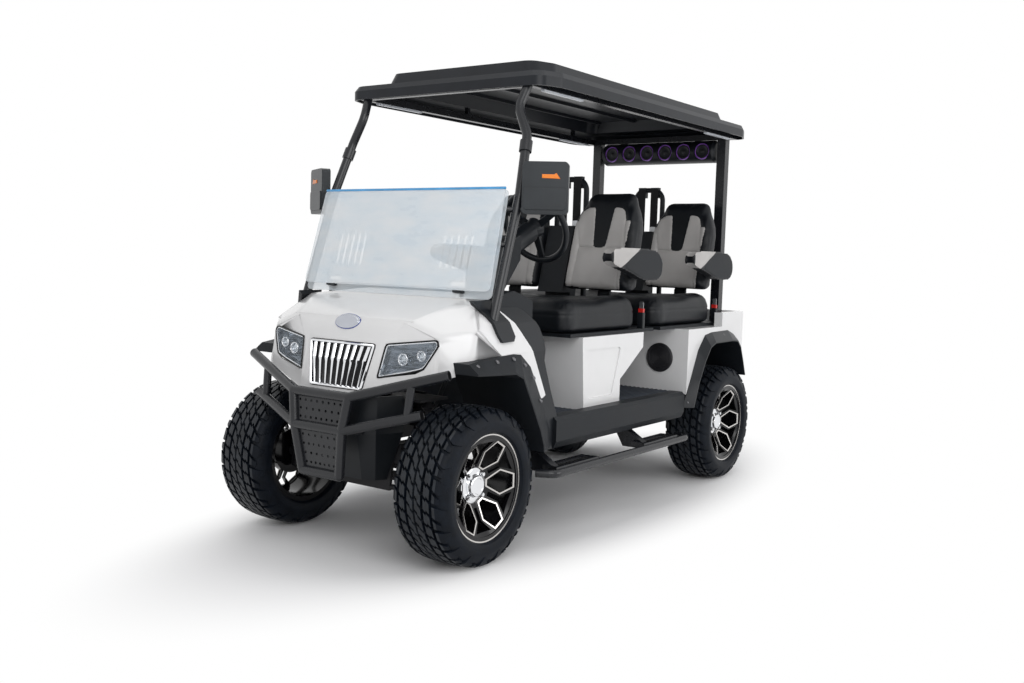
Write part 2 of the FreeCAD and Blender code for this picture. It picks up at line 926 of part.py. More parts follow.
def leaf_spring():
    """Arched leaf over the rear axle, hung from the frame by its ends."""
    z_low = axle_z + axle_tube_radius
    z_end = spring_end_z()
    low = Part.Arc(point(spring_x, y_rear_axle - spring_half_length, z_end),
                   point(spring_x, y_rear_axle, z_low),
                   point(spring_x, y_rear_axle + spring_half_length, z_end)).toShape()
    high = low.copy()
    high.translate(along_z * spring_leaf)
    ends = []
    for side in (-1, 1):
        foot = point(spring_x, y_rear_axle + side * spring_half_length, z_end)
        ends.append(Part.LineSegment(foot, foot + along_z * spring_leaf).toShape())
    loop = Part.Wire(Part.__sortEdges__([low, ends[1], high, ends[0]]))
    return prism(loop, along_x * spring_width)


def rear_axle():
    reach = wheel_x - hub_back - axle_end_gap
    tube = rod(point(-reach, y_rear_axle, axle_z), point(reach, y_rear_axle, axle_z), axle_tube_radius)
    end = wheel_x + spindle_reach
    shaft = rod(point(-end, y_rear_axle, axle_z), point(end, y_rear_axle, axle_z), spindle_radius)
    differential = Part.makeSphere(differential_radius, point(0, y_rear_axle, axle_z))
    half = differential_width / 2
    differential = differential.common(block(
        -half, half, y_rear_axle - differential_radius, y_rear_axle + differential_radius,
        axle_z - differential_radius, rail_high_z))
    y_motor = y_rear_axle - differential_radius / 2
    motor = rod(point(0, y_motor, axle_z), point(0, y_motor - motor_length, axle_z), motor_radius)
    springs = [leaf_spring(), mirrored(leaf_spring())]
    return fused([tube, shaft, differential, motor] + springs)


def placed_path(points, y_axle):
    """Outline of (distance behind an axle, height) pairs in its place."""
    return [(y_axle + run, z) for run, z in points]


def nose_outline(inset):
    """Plan outline of the cowl's lower edge, moved inwards by the inset."""
    y_nose = y_front_axle - cowl_nose_setback
    y_rear = y_front_axle + cowl_rear_run + overrun
    return offset_path([
        (0, y_nose), (cowl_nose_half, y_nose), (cowl_lamp_half, y_nose + cowl_lamp_sweep),
        (cowl_corner_half, y_nose + cowl_corner_sweep), (body_half_width, y_nose + cowl_side_run),
        (body_half_width, y_rear)], -inset)


def crown_prism(inset):
    """Everything under the hood's and shoulders' cross section."""
    half = offset_path([
        (0, hood_rear_z + hood_crown_fall), (shoulder_half / 2, hood_rear_z), (shoulder_half, shoulder_z),
        (hip_half, hip_z), (body_half_width, flank_z), (body_half_width, sill_low_z)], inset)
    return front_prism(symmetric(half), y_front_axle - cowl_nose_setback - overrun,
                       y_front_axle + sill_front_run + 2 * cowl_rear_run)


def shoulder_cutter(inset):
    """Body above the slanted facet between the hood and the headlamp."""
    corners = [point(body_half_width - inward, y_front_axle + run, z) for inward, run, z in shoulder_points]
    normal = (corners[1] - corners[0]).cross(corners[2] - corners[0]).normalize()
    return Part.makeCylinder(body_half_width, body_half_width, corners[1] - normal * inset, normal)


def cowl_solid(inset):
    """The nose and hood as one closed form; the inner one runs on through the open sides."""
    open_end = overrun if inset > 0 else 0
    z_low = cowl_low_z - open_end
    corners = [point(x, y - open_end * cowl_rake_share, z_low) for x, y in symmetric(nose_outline(inset))]
    height = hood_rear_z - z_low + overrun
    plan = prism(sharp_loop(corners), point(0, height * cowl_rake_share, height))
    y_nose = y_front_axle - cowl_nose_setback
    y_rear = y_front_axle + cowl_rear_run
    top = offset_path([
        (y_nose, hood_front_z), (y_nose + (hood_front_z - cowl_low_z) * cowl_rake_share, hood_front_z),
        (y_front_axle - hood_badge_run, hood_badge_z), (y_front_axle, hood_middle_z),
        (y_rear, hood_rear_z)], inset)
    y_front = y_nose - overrun
    side = side_prism([(y_front, z_low), (y_front, top[0][1])] + top
                      + [(y_rear + open_end, top[-1][1]), (y_rear + open_end, z_low)],
                      -body_half_width - overrun, body_half_width + overrun)
    shoulders = Part.Compound([shoulder_cutter(inset), mirrored(shoulder_cutter(inset))])
    return plan.common(side).common(crown_prism(inset)).cut(shoulders)


def arch_opening(points, y_axle):
    """Closed outline of the space under an arch's upper line."""
    path = offset_path(placed_path(points, y_axle), -fit_gap)
    return path + [(path[-1][0], 0), (path[0][0], 0)]


def cowl_tail():
    """White strip of the cowl that runs down between the flare and the door opening."""
    front = offset_path(placed_path(front_body_line[2:6], y_front_axle), -fit_gap)
    outline = front + list(reversed(placed_path(tail_points, y_front_axle)))
    skin = crown_prism(0).cut(crown_prism(cowl_wall))
    return side_prism(outline, dash_half, body_half_width + overrun).common(skin)


def nose_y(x, z):
    """Front face of the nose: raked everywhere, swept beyond the grille."""
    sweep = cowl_lamp_sweep / (cowl_lamp_half - cowl_nose_half)
    beyond = max(abs(x) - cowl_nose_half, 0)
    return y_front_axle - cowl_nose_setback + beyond * sweep + (z - cowl_low_z) * cowl_rake_share


def lamp_corner(share_across, share_up, forward):
    x = between(lamp_inner_x, lamp_outer_x, share_across)
    z = between(lamp_low_z, lamp_high_z, share_up)
    return point(x, nose_y(x, z) - forward, z)


def headlamp(forward, depth, grow):
    """A headlamp in the plane of the swept nose."""
    corners = []
    for share_across, share_up in lamp_corner_shares:
        corner = lamp_corner(share_across, share_up, forward)
        middle = lamp_corner(0.5, 0.5, forward)
        corners.append(corner + (corner - middle).normalize() * grow)
    return prism(sharp_loop(corners), along_y * depth)


def grille_corners(inset, forward):
    low_z = grille_low_z + inset
    high_z = grille_high_z - inset
    corners = []
    for side, half, z in ((-1, grille_half_low, low_z), (1, grille_half_low, low_z),
                          (1, grille_half_high, high_z), (-1, grille_half_high, high_z)):
        corners.append(point(side * (half - inset), nose_y(0, z) - forward, z))
    return corners


def grille_block(inset, forward, depth):
    return prism(sharp_loop(grille_corners(inset, forward)), along_y * depth)


def nose_underside():
    """Space under the cowl's lower edge, which rises from the grille to the flares."""
    half = body_half_width + overrun
    z_side = cowl_low_z + (half - cowl_nose_half) * cowl_edge_rise_share
    outline = [(cowl_nose_half, cowl_low_z), (half, z_side), (half, sill_low_z), (cowl_nose_half, sill_low_z)]
    y_front = y_front_axle - cowl_nose_setback - overrun
    side = front_prism(outline, y_front, y_front_axle - flare_tip_run)
    return on_both_sides(side)


def front_cowl():
    shell = cowl_solid(0).cut(cowl_solid(cowl_wall)).cut(nose_underside())
    shell = shell.cut(grille_block(-fit_gap, overrun, 3 * overrun))
    lamp = headlamp(overrun, lamp_depth + 2 * overrun, fit_gap)
    half = body_half_width + overrun
    opening = side_prism(arch_opening(front_body_line, y_front_axle), flare_root_x, half)
    door = placed_path(tail_points[:3], y_front_axle)
    z_top = hood_rear_z + overrun
    door_cut = side_prism(door + [(door[-1][0], z_top), (door[0][0], z_top)], dash_half, half)
    for cutter in (lamp, opening, door_cut):
        shell = shell.cut(cutter).cut(mirrored(cutter))
    return fused([shell, cowl_tail(), mirrored(cowl_tail())])


def grille():
    frame = grille_block(0, lamp_lip, grille_depth)
    frame = frame.cut(grille_block(grille_frame, overrun, grille_depth + 2 * overrun))
    back = grille_block(grille_frame / 2, lamp_lip - grille_depth + cowl_wall, cowl_wall)
    bars = []
    inner_half = (grille_half_low + grille_half_high) / 2 - grille_frame
    low = grille_low_z + grille_frame / 2
    high = grille_high_z - grille_frame / 2
    bend_z = between(low, high, grille_bend_share)
    pitch = 2 * inner_half / grille_bar_count
    for index in range(grille_bar_count):
        x_low = -inner_half + pitch * (index + 0.5) - grille_bar_width / 2
        outline = [
            (nose_y(0, low) - grille_bar_proud / 2, low),
            (nose_y(0, bend_z) - lamp_lip - grille_bar_proud, bend_z),
            (nose_y(0, high) - grille_bar_proud / 2, high),
            (nose_y(0, high) + grille_depth - lamp_lip, high),
            (nose_y(0, low) + grille_depth - lamp_lip, low),
        ]
        bars.append(side_prism(outline, x_low, x_low + grille_bar_width))
    return fused([frame, back] + bars)


def headlamps():
    return on_both_sides(headlamp(lamp_lip, lamp_depth, 0))


def valance_section(half, y_face, z):
    """Level cut through the valance: a flat face with a facet at each end."""
    y_back = y_front_axle - arm_spread - hoop_thickness / 2 - fit_gap
    facet_half = half * valance_facet_share
    face_half = half * valance_face_share
    return sharp_loop([
        point(-half, y_back, z), point(-facet_half, y_face + valance_crease_proud, z),
        point(-face_half, y_face, z), point(face_half, y_face, z),
        point(facet_half, y_face + valance_crease_proud, z), point(half, y_back, z)])


def valance_form(wall):
    """The valance as a closed form; the inner one is moved back to leave its rear open."""
    z_high = cowl_low_z - fit_gap
    z_crease = between(valance_low_z, z_high, valance_crease_share)
    y_high = y_front_axle - valance_setback + wall
    rise = overrun if wall > 0 else 0
    form = Part.makeLoft([
        valance_section(valance_low_half - wall, y_high + valance_depth, valance_low_z + wall),
        valance_section(valance_half - wall, y_high - valance_bulge, z_crease),
        valance_section(valance_half - wall, y_high, z_high + rise)], True, True)
    form.translate(along_y * wall)
    return form


def front_valance():
    """Creased skid under the nose, open at the back, with a hole for each stay of the guard."""
    skin = valance_form(0).cut(valance_form(valance_wall))
    for side in (-1, 1):
        start, end = guard_stay_line(side)
        skin = skin.cut(rod(start, end, guard_stay_radius + fit_gap))
    return skin


def guard_point(half, back, z, side=1):
    return point(side * half, -total_length / 2 + guard_tube + back, z)


def guard_joint(side):
    return guard_point(guard_mid_half, 0, guard_mid_z, side)


def guard_foot(side):
    return guard_point(guard_low_half, guard_low_back, guard_low_z, side)


def guard_stay_line(side):
    """From the guard's joint back to the front suspension hoop."""
    return guard_joint(side), point(side * guard_stay_x, y_front_axle - arm_spread, guard_stay_z)


def perforated_plate(low, high, rows, holes):
    """Plate between the guard's tubes, with rows of round holes.

    Its edges are (half width, distance behind the foremost tube, height).
    """
    corners = [guard_point(*low, side=-1), guard_point(*low), guard_point(*high), guard_point(*high, side=-1)]
    plate = prism(sharp_loop(corners), along_y * guard_plate)
    cutters = []
    for row in range(rows):
        share = (row + 1) / (rows + 1)
        half = between(low[0], high[0], share) - guard_tube
        count = holes - row % 2
        for hole in range(count):
            x = between(-half, half, (hole + 0.5) / count)
            start = point(x, -total_length / 2 - overrun, between(low[2], high[2], share))
            cutters.append(Part.makeCylinder(guard_hole, 3 * overrun + guard_tube, start, along_y))
    return plate.cut(Part.Compound(cutters))


def brush_guard():
    top = guard_point(guard_top_half, guard_top_back, guard_top_z)
    top_far = guard_point(guard_top_half, guard_top_back, guard_top_z, -1)
    wing = guard_point(guard_wing_half, guard_wing_back, guard_wing_z)
    wing_far = guard_point(guard_wing_half, guard_wing_back, guard_wing_z, -1)
    tubes = [bent_tube([wing_far, top_far, top, wing], guard_tube, guard_bend),
             rod(guard_joint(-1), guard_joint(1), guard_tube), rod(guard_foot(-1), guard_foot(1), guard_tube)]
    for side in (-1, 1):
        corner = guard_point(guard_top_half, guard_top_back, guard_top_z, side)
        joint = guard_joint(side)
        foot = guard_foot(side)
        low_tip = guard_point(guard_lower_wing_half, guard_lower_wing_back, guard_lower_wing_z, side)
        high_tip = guard_point(guard_wing_half, guard_wing_back, guard_wing_z, side)
        tubes += [rod(corner, joint, guard_tube), rod(joint, foot, guard_tube)]
        tubes.append(rod(joint, low_tip, guard_tube))
        tubes += [Part.makeSphere(guard_tube, joint), Part.makeSphere(guard_tube, foot)]
        post_top = corner + (high_tip - corner) * guard_post_share
        post_foot = joint + (low_tip - joint) * guard_lower_post_share
        tubes.append(rod(post_top, post_foot, guard_post_radius))
        start, end = guard_stay_line(side)
        tubes.append(rod(start, end, guard_stay_radius))
    top_edge = (guard_top_half, guard_top_back, guard_top_z)
    middle_edge = (guard_mid_half, 0, guard_mid_z)
    low_edge = (guard_low_half, guard_low_back, guard_low_z)
    plates = [
        perforated_plate(middle_edge, top_edge, guard_upper_rows, guard_upper_holes),
        perforated_plate(low_edge, middle_edge, guard_lower_rows, guard_lower_holes),
    ]
    y_hoop = y_front_axle - arm_spread - hoop_thickness / 2 - fit_gap
    behind = block(-spring_seat_half, spring_seat_half, y_hoop, y_front_axle, hoop_low_z, hoop_high_z)
    return fused(tubes + plates).cut(behind)


def flare_skin(body_line, lip_line):
    """Sloping band from the body's arch line out to the lip."""
    sections = []
    for path, x in ((body_line, body_half_width + fit_gap), (lip_line, flare_half_width)):
        loop = path + list(reversed(offset_path(path, arch_wall)))
        sections.append(sharp_loop([point(x, y, z) for y, z in loop]))
    return Part.makeLoft(sections, True, True)


def arch(body_points, lip_points, y_axle):
    """A wheel arch: the flare and the liner behind its lip."""
    body_line = placed_path(body_points, y_axle)
    lip_line = placed_path(lip_points, y_axle)
    liner = lip_line + list(reversed(offset_path(lip_line, arch_wall)))
    return fused([flare_skin(body_line, lip_line), side_prism(liner, arch_inner_x, flare_half_width)])


def front_arch():
    """A front arch whose flare wraps the corner of the nose."""
    body_line = placed_path(front_body_line, y_front_axle)
    lip_line = placed_path(front_lip_line, y_front_axle)
    flange_line = body_line[:3]
    flange = side_prism(flange_line + list(reversed(offset_path(flange_line, arch_wall))),
                        flare_root_x, body_half_width + fit_gap)
    y_tip = y_front_axle - flare_tip_run
    end_plate = front_prism([
        (flare_root_x, lip_line[0][1] - arch_wall), (flare_half_width, lip_line[0][1] - arch_wall),
        (flare_half_width, lip_line[0][1]), (body_half_width, body_line[0][1]),
        (flare_root_x, body_line[0][1])], y_tip, y_tip + arch_wall)
    wrap = fused([flange, end_plate]).cut(cowl_solid(-fit_gap))
    y_front = y_front_axle - cowl_nose_setback - overrun
    ahead = block(0, flare_half_width + overrun, y_front, y_tip, 0, hood_rear_z)
    return fused([arch(front_body_line, front_lip_line, y_front_axle).cut(ahead), wrap])


def rear_arch():
    return arch(rear_body_line, rear_lip_line, y_rear_axle)


def jamb_trim():
    """Dark trim between the cowl's tail and the door opening, down to the sill."""
    front = offset_path(placed_path(tail_points, y_front_axle), -fit_gap)
    y_sill = y_front_axle + sill_front_run - fit_gap
    outline = placed_path(jamb_points, y_front_axle) + [
        (y_sill, sill_high_z + fit_gap), (y_sill, sill_low_z), (y_front_axle + jamb_foot_run, sill_low_z)]
    solid = side_prism(outline + list(reversed(front)), dash_half + fit_gap, body_half_width)
    return solid.common(crown_prism(0)).cut(crown_prism(jamb_width))


def foot_cover():
    """Cover that straps the pillar's foot over the cowl's shoulder."""
    solid = side_prism(placed_path(foot_cover_points, y_front_axle), foot_cover_inner_x,
                       body_half_width + foot_cover_wall)
    return solid.common(crown_prism(-foot_cover_wall)).cut(crown_prism(-fit_gap))


def side_trim():
    pieces = [jamb_trim(), foot_cover()]
    return Part.Compound(pieces + [mirrored(piece) for piece in pieces])


def steering_shaft(radius):
    """Shaft from the column's foot, round the pedals, to the rack."""
    foot = steering_centre() - steering_axis() * (column_length - shaft_radius)
    knee = point(shaft_knee_x, y_front_axle + shaft_knee_run, shaft_knee_z)
    rack_top = steering_arm_z - tie_rod_drop + rack_housing_radius
    end = point(shaft_end_x, y_front_axle + steering_arm_length + rack_housing_radius, rack_top)
    return bent_tube([foot, knee, end], radius, 3 * shaft_radius)


def dash_outline(inset):
    """Side outline of the dashboard, moved inwards by the inset."""
    y_front = y_front_axle + cowl_rear_run + fit_gap + inset
    y_rear = y_front_axle + dash_rear_run - inset
    crest = between(y_front, y_rear, dash_crest_share)
    return [
        (y_front, dash_low_z + inset), (y_front, hood_rear_z - inset),
        (crest, hood_rear_z + dash_crown - inset), (y_rear, hood_rear_z - dash_fall - inset),
        (y_rear, dash_lip_z + inset), (crest, dash_low_z + inset)]


def dashboard():
    """Hollow shelf across the cart with a glove pocket on each side and the column's pod."""
    shelf = side_prism(dash_outline(0), -dash_half, dash_half, dash_corner)
    shelf = shelf.cut(side_prism(dash_outline(dash_wall), -dash_half + dash_wall, dash_half - dash_wall))
    y_rear = y_front_axle + dash_rear_run
    for x_middle, half in zip(glovebox_places, glovebox_halves):
        shelf = shelf.cut(block(
            x_middle - half, x_middle + half, y_rear - dash_wall - overrun, y_rear + overrun,
            glovebox_low_z, glovebox_low_z + glovebox_height))
    column_top = steering_centre() - steering_axis() * pod_start
    column_foot = steering_centre() - steering_axis() * column_length
    pod = side_prism([
        (column_foot.y - pod_half, hood_rear_z - dash_wall), (column_foot.y - pod_half, column_foot.z),
        (column_foot.y, column_foot.z + pod_half), (column_top.y, column_top.z + pod_half),
        (column_top.y, column_top.z - pod_half), (y_rear - dash_wall, hood_rear_z - dash_wall)],
        steering_x - pod_half, steering_x + pod_half, dash_corner)
    body = fused([shelf, pod])
    body = body.cut(column_rod(column_radius + fit_gap, -overrun, column_length + fit_gap))
    return body.cut(column_rod(shroud_radius + fit_gap, -overrun, shroud_end + fit_gap)).cut(
        steering_shaft(shaft_radius + fit_gap))


def pane_point(x, share, ahead):
    """A point of the windshield's plane, moved ahead of it."""
    y = between(pane_low_run, pane_high_run, share) + y_front_axle
    z = between(pane_low_z, pane_high_z, share)
    lean = math.atan2(pane_high_run - pane_low_run, pane_high_z - pane_low_z)
    return point(x, y - ahead * math.cos(lean), z + ahead * math.sin(lean))


def pane_normal():
    return (pane_point(0, 0, 1) - pane_point(0, 0, 0)).normalize()


def pane(low_share, high_share, ahead, depth):
    corners = []
    for side, share in ((-1, low_share), (1, low_share), (1, high_share), (-1, high_share)):
        half = between(pane_low_half, pane_high_half, share)
        corners.append(pane_point(side * half, share, ahead))
    return prism(rounded_loop(corners, pane_spacing), pane_normal() * depth)


def vent_slot(x):
    low = pane_point(x, vent_low_share, -overrun)
    high = pane_point(x, vent_high_share, -overrun)
    across = along_x * vent_slot_width / 2
    loop = sharp_loop([low - across, low + across, high + across, high - across])
    slot = prism(loop, pane_normal() * 3 * overrun)
    ends = [Part.makeCylinder(vent_slot_width / 2, 3 * overrun, end, pane_normal()) for end in (low, high)]
    return fused([slot] + ends)


def windshield():
    """Fixed lower pane with two vents, and the upper pane folded down ahead of it."""
    lower = pane(0, 1, 0, pane_thickness)
    slots = []
    for side in (-1, 1):
        for slot in range(vent_slot_count):
            slots.append(vent_slot(side * vent_centre_x + vent_pitch * (slot - (vent_slot_count - 1) / 2)))
    lower = lower.cut(Part.Compound(slots))
    upper = pane(pane_fold_share, 1, pane_spacing, pane_thickness)
    hinges = []
    rise = (pane_point(0, 1, 0) - pane_point(0, 0, 0)).normalize() * pane_hinge_height
    across = along_x * pane_hinge_half
    for side in (-1, 1):
        low = pane_point(side * pane_hinge_x, pane_hinge_share, 0)
        corners = [low - across, low + across, low + across + rise, low - across + rise]
        hinges.append(prism(sharp_loop(corners), pane_normal() * pane_spacing))
    body = fused([lower, upper] + hinges)
    keep_out = pillar_tube(pillar_radius + fit_gap)
    return body.cut(keep_out).cut(mirrored(keep_out))


pillar_places = {
    "foot": (pillar_foot_x, pillar_foot_run, pillar_foot_z),
    "pane": (pillar_pane_x, pillar_pane_run, pillar_pane_z),
    "clamp": (pillar_clamp_x, pillar_clamp_run, between(pillar_foot_z, roof_rail_z, pillar_clamp_share)),
    "neck": (pillar_neck_x, pillar_neck_run, between(pillar_foot_z, roof_rail_z, pillar_neck_share)),
    "top": (pillar_top_x, pillar_top_run, roof_rail_z),
}


def pillar_point(name):
    x, run, z = pillar_places[name]
    return point(x, y_front_axle + run, z)


def pillar_tube(radius):
    return bent_tube([pillar_point(name) for name in pillar_places], radius, pillar_bend)


def pane_clamp(share):
    """Stub from the pillar's axis to the lower pane that it holds."""
    end = pane_point(pane_clamp_x, share, 0)
    foot = pillar_point("foot")
    rise = pillar_point("pane") - foot
    start = foot + rise * ((end.z - foot.z) / rise.z)
    return rod(start, end, pane_clamp_radius).cut(pane(0, 1, 0, overrun))


def pillar():
    """Front roof pillar with its clamps, trimmed to its foot cover and to the roof rail."""
    up = (pillar_point("clamp") - pillar_point("pane")).normalize()
    start = pillar_point("clamp") - up * clamp_drop
    collar = Part.makeCylinder(clamp_radius, clamp_height, start, up)
    clamps = [pane_clamp(share) for share in pane_clamp_shares]
    post = fused([pillar_tube(pillar_radius), collar] + clamps)
    y_high = y_front_axle + pillar_top_run + overrun
    above = block(0, pillar_foot_x, y_front_axle, y_high, rail_bottom_z - fit_gap, roof_height)
    return post.cut(crown_prism(-foot_cover_wall - fit_gap)).cut(above)


def front_pillars():
    return on_both_sides(pillar())


def rear_posts():
    """Square posts from the rear body up to the roof rails."""
    y_post = y_rear_axle + post_run
    half = post_size / 2
    top = rail_bottom_z - fit_gap
    post = block(post_x - half, post_x + half, y_post - half, y_post + half, post_foot_z, top)
    inner = half - post_wall
    bore = block(post_x - inner, post_x + inner, y_post - inner, y_post + inner,
                 post_foot_z + post_wall, top - post_wall)
    return on_both_sides(post.cut(bore))


def roof_outline(inset):
    y_front = y_front_axle + roof_front_run
    y_rear = y_rear_axle + roof_rear_run
    half = [
        (roof_half_front - inset, y_front + inset),
        (roof_half_side - inset, y_front_axle + roof_side_run + inset),
        (roof_half_side - inset, y_rear - roof_rear_corner * 2),
        (roof_half_rear - inset, y_rear - inset),
    ]
    return half + [(-x, y) for x, y in reversed(half)]


def roof_loop(inset, z):
    corners = [point(x, y, z) for x, y in roof_outline(inset)]
    return rounded_loop(corners, roof_corner_radius)


def roof_shell(wall):
    levels = [(0, roof_lip_z - wall), (0, roof_edge_z - wall), (roof_edge_inset, roof_deck_z - wall),
              (roof_deck_inset, roof_deck_z + roof_wall - wall)]
    loops = [roof_loop(inset + wall, z) for inset, z in levels]
    skin = Part.makeLoft(loops, True, True)
    platform = Part.makeLoft([
        roof_loop(roof_platform_inset + wall, roof_deck_z - wall),
        roof_loop(roof_platform_top_inset + wall, roof_height - wall)], True, True)
    return skin.fuse(platform)


def roof():
    """Moulded canopy: a raised platform, gutters, a turned-down lip and ribs below."""
    shell = roof_shell(0).cut(roof_shell(roof_wall))
    ribs = []
    clear = roof_platform_top_inset + 2 * roof_wall
    y_front = y_front_axle + roof_front_run + clear
    y_rear = y_rear_axle + roof_rear_run - clear
    half = roof_half_front - clear - roof_rib_width
    z_top = roof_height - roof_wall
    for index in range(roof_rib_count):
        x_low = between(-half, half, index / (roof_rib_count - 1)) - roof_rib_width / 2
        ribs.append(block(x_low, x_low + roof_rib_width, y_front, y_rear,
                          z_top - roof_rib_depth, z_top + roof_wall / 2))
    return fused([shell] + ribs)


def roof_frame():
    """Square tubes under the roof that join pillars, posts and sound bar, with pads below the deck."""
    half = rail_tube_size / 2
    y_front = y_front_axle + pillar_top_run - pillar_radius
    y_rear = y_rear_axle + post_run + post_size / 2
    pieces = []
    for side in (-1, 1):
        x_middle = side * rail_tube_x
        pieces.append(block(
            x_middle - half, x_middle + half, y_front, y_rear, rail_bottom_z, roof_rail_z + half))
    for y_low in (y_front, y_rear - rail_tube_size):
        pieces.append(block(-rail_tube_x, rail_tube_x, y_low, y_low + rail_tube_size,
                            rail_bottom_z, roof_rail_z + half))
    pad_top = roof_deck_z - fit_gap
    for side in (-1, 1):
        x_low = side * roof_pad_x - roof_pad_size / 2
        for index in range(roof_pad_count):
            y_low = between(y_front, y_rear, (index + 0.5) / roof_pad_count) - roof_pad_size / 2
            pieces.append(block(
                x_low, x_low + roof_pad_size, y_low, y_low + roof_pad_size, roof_rail_z, pad_top))
    return fused(pieces)


def roof_lamps():
    """Slim lamps under the roof's side rails, two on each side."""
    x_low = rail_tube_x - roof_lamp_width / 2
    z_high = rail_bottom_z - fit_gap
    y_first = y_front_axle + roof_side_run
    y_last = y_rear_axle + post_run - post_size - roof_lamp_length
    lamps = []
    for y_low in (y_first, y_last):
        lamps.append(block(x_low, x_low + roof_lamp_width, y_low, y_low + roof_lamp_length,
                           z_high - roof_lamp_height, z_high))
    return Part.Compound(lamps + [mirrored(lamp) for lamp in lamps])


def sound_bar():
    """Round bar of speakers below the rear cross tube."""
    y_bar = y_rear_axle + sound_bar_run
    middle = point(0, y_bar, sound_bar_z)
    end = along_x * sound_bar_half
    pieces = [rod(middle - end, middle + end, sound_bar_radius)]
    half = rail_tube_size / 2
    for side in (-1, 1):
        start = point(side * sound_bar_half, y_bar, sound_bar_z)
        pieces.append(Part.makeCone(
            sound_bar_radius, sound_bar_radius - sound_bar_cap, sound_bar_cap, start, along_x * side))
        x_low = side * sound_bar_stay_x - half
        pieces.append(block(x_low, x_low + rail_tube_size, y_bar - half, y_bar + half,
                            sound_bar_z, rail_bottom_z - fit_gap))
    wells = []
    pitch = 2 * sound_bar_half / speaker_count
    for index in range(speaker_count):
        x = -sound_bar_half + pitch * (index + 0.5)
        start = point(x, y_bar - sound_bar_radius - overrun, sound_bar_z)
        wells.append(Part.makeCylinder(sound_bar_well, overrun + sound_bar_well_depth, start, along_y))
    return fused(pieces).cut(Part.Compound(wells))


def mirror():
    """Mirror housing, toed out, on a stem from the pillar."""
    y_mid = y_front_axle + mirror_run
    half = mirror_width / 2
    x_low = mirror_centre_x - half
    x_high = mirror_centre_x + half
    z_high = mirror_low_z + mirror_height
    outline = [(x_low, mirror_low_z), (x_high, mirror_low_z), (x_high, z_high), (x_low, z_high)]
    housing = front_prism(outline, y_mid - mirror_depth / 2, y_mid + mirror_depth / 2, mirror_corner)
    glass_low_z = between(mirror_low_z, z_high, mirror_glass_share)
    frame = mirror_corner / 2
    glass = front_prism([
        (x_low + frame, glass_low_z), (x_high - frame, glass_low_z),
        (x_high - frame, z_high - frame), (x_low + frame, z_high - frame)],
        y_mid + mirror_depth / 2 - mirror_stem_radius, y_mid + mirror_depth, frame)
    housing = housing.cut(glass)
    housing.rotate(point(mirror_centre_x, y_mid, 0), along_z, mirror_toe_degrees)
    stem_z = mirror_low_z + mirror_corner
    share = (stem_z - pillar_foot_z) / (pillar_pane_z - pillar_foot_z)
    on_pillar = pillar_point("foot") + (pillar_point("pane") - pillar_point("foot")) * share
    stem = rod(on_pillar, point(mirror_centre_x, y_mid, stem_z), mirror_stem_radius)
    return fused([housing, stem]).cut(pillar_tube(pillar_radius + fit_gap))


def mirrors():
    return on_both_sides(mirror())


def floor_pan():
    """Floor with the toe board at its front, narrower there to pass between the arches."""
    y_rear = row_y(1) - rear_base_ahead - fit_gap
    y_low = y_front_axle + toe_board_low_run
    y_high = y_front_axle + toe_board_high_run
    low_z = floor_z - floor_thickness
    pan = side_prism([
        (y_rear, low_z), (y_rear, floor_z), (y_low, floor_z), (y_high, toe_board_high_z),
        (y_high - floor_thickness, toe_board_high_z), (y_low - floor_thickness, low_z)],
        -floor_half_width, floor_half_width)
    trim = block(toe_board_half, floor_half_width + overrun, y_high - overrun, y_low - floor_thickness,
                 low_z - overrun, toe_board_high_z + overrun)
    return pan.cut(trim).cut(mirrored(trim))


def row_y(row):
    """Foot of a row's seatbacks: the front row is 0, the rear row 1."""
    return y_front_axle + seat_row_run + seat_row_pitch * row


def sill():
    y_front = y_front_axle + sill_front_run
    y_rear = y_rear_axle - sill_rear_run
    x_inner = floor_half_width + fit_gap
    x_corner = sill_outer - sill_corner
    low_corner = sill_low_z + 2 * sill_corner
    high_corner = sill_high_z - sill_corner
    outline = [
        (x_inner, sill_low_z), (x_corner, sill_low_z), (sill_outer, low_corner),
        (sill_outer, high_corner), (x_corner, sill_high_z), (x_inner, sill_high_z)]
    inner = [
        (x_inner - overrun, sill_low_z + sill_wall), (x_corner, sill_low_z + sill_wall),
        (sill_outer - sill_wall, low_corner), (sill_outer - sill_wall, high_corner),
        (x_corner - sill_wall, sill_high_z - sill_wall), (x_inner - overrun, sill_high_z - sill_wall)]
    hollow = front_prism(inner, y_front + sill_wall, y_rear - sill_wall)
    return front_prism(outline, y_front, y_rear).cut(hollow)



def sills():
    return on_both_sides(sill())


def step_pad(y_mid):
    """Tread plate on the step tube, with a raised rim round it."""
    half = step_pad_length / 2
    x_low = step_x + step_tube - step_pad_width
    top = step_z + step_tube
    outline = [(x_low, y_mid - half + step_tube), (step_x, y_mid - half),
               (step_x, y_mid + half), (x_low, y_mid + half - step_tube)]
    pad = plan_prism(outline, top - step_pad_thickness, top + step_pad_lip)
    groove = plan_prism([
        (x_low + step_tube, y_mid - half + 2 * step_tube), (step_x - step_tube, y_mid - half + step_tube),
        (step_x - step_tube, y_mid + half - step_tube), (x_low + step_tube, y_mid + half - 2 * step_tube)],
        top, top + step_pad_lip + overrun)
    return pad.cut(groove)


def step_gusset(run):
    """Bracket from a cross member's end down and out to the step tube."""
    y_low = y_front_axle + run - step_bracket_width / 2
    top = cross_member_low_z - fit_gap
    foot = step_z - step_tube / 2
    outline = [
        (cross_member_half - step_inset, top), (cross_member_half, top),
        (cross_member_half, sill_low_z - fit_gap), (step_x, step_z), (step_x, foot),
        (cross_member_half, foot), (cross_member_half - step_inset / 2, (step_z + top) / 2)]
    return front_prism(outline, y_low, y_low + step_bracket_width)


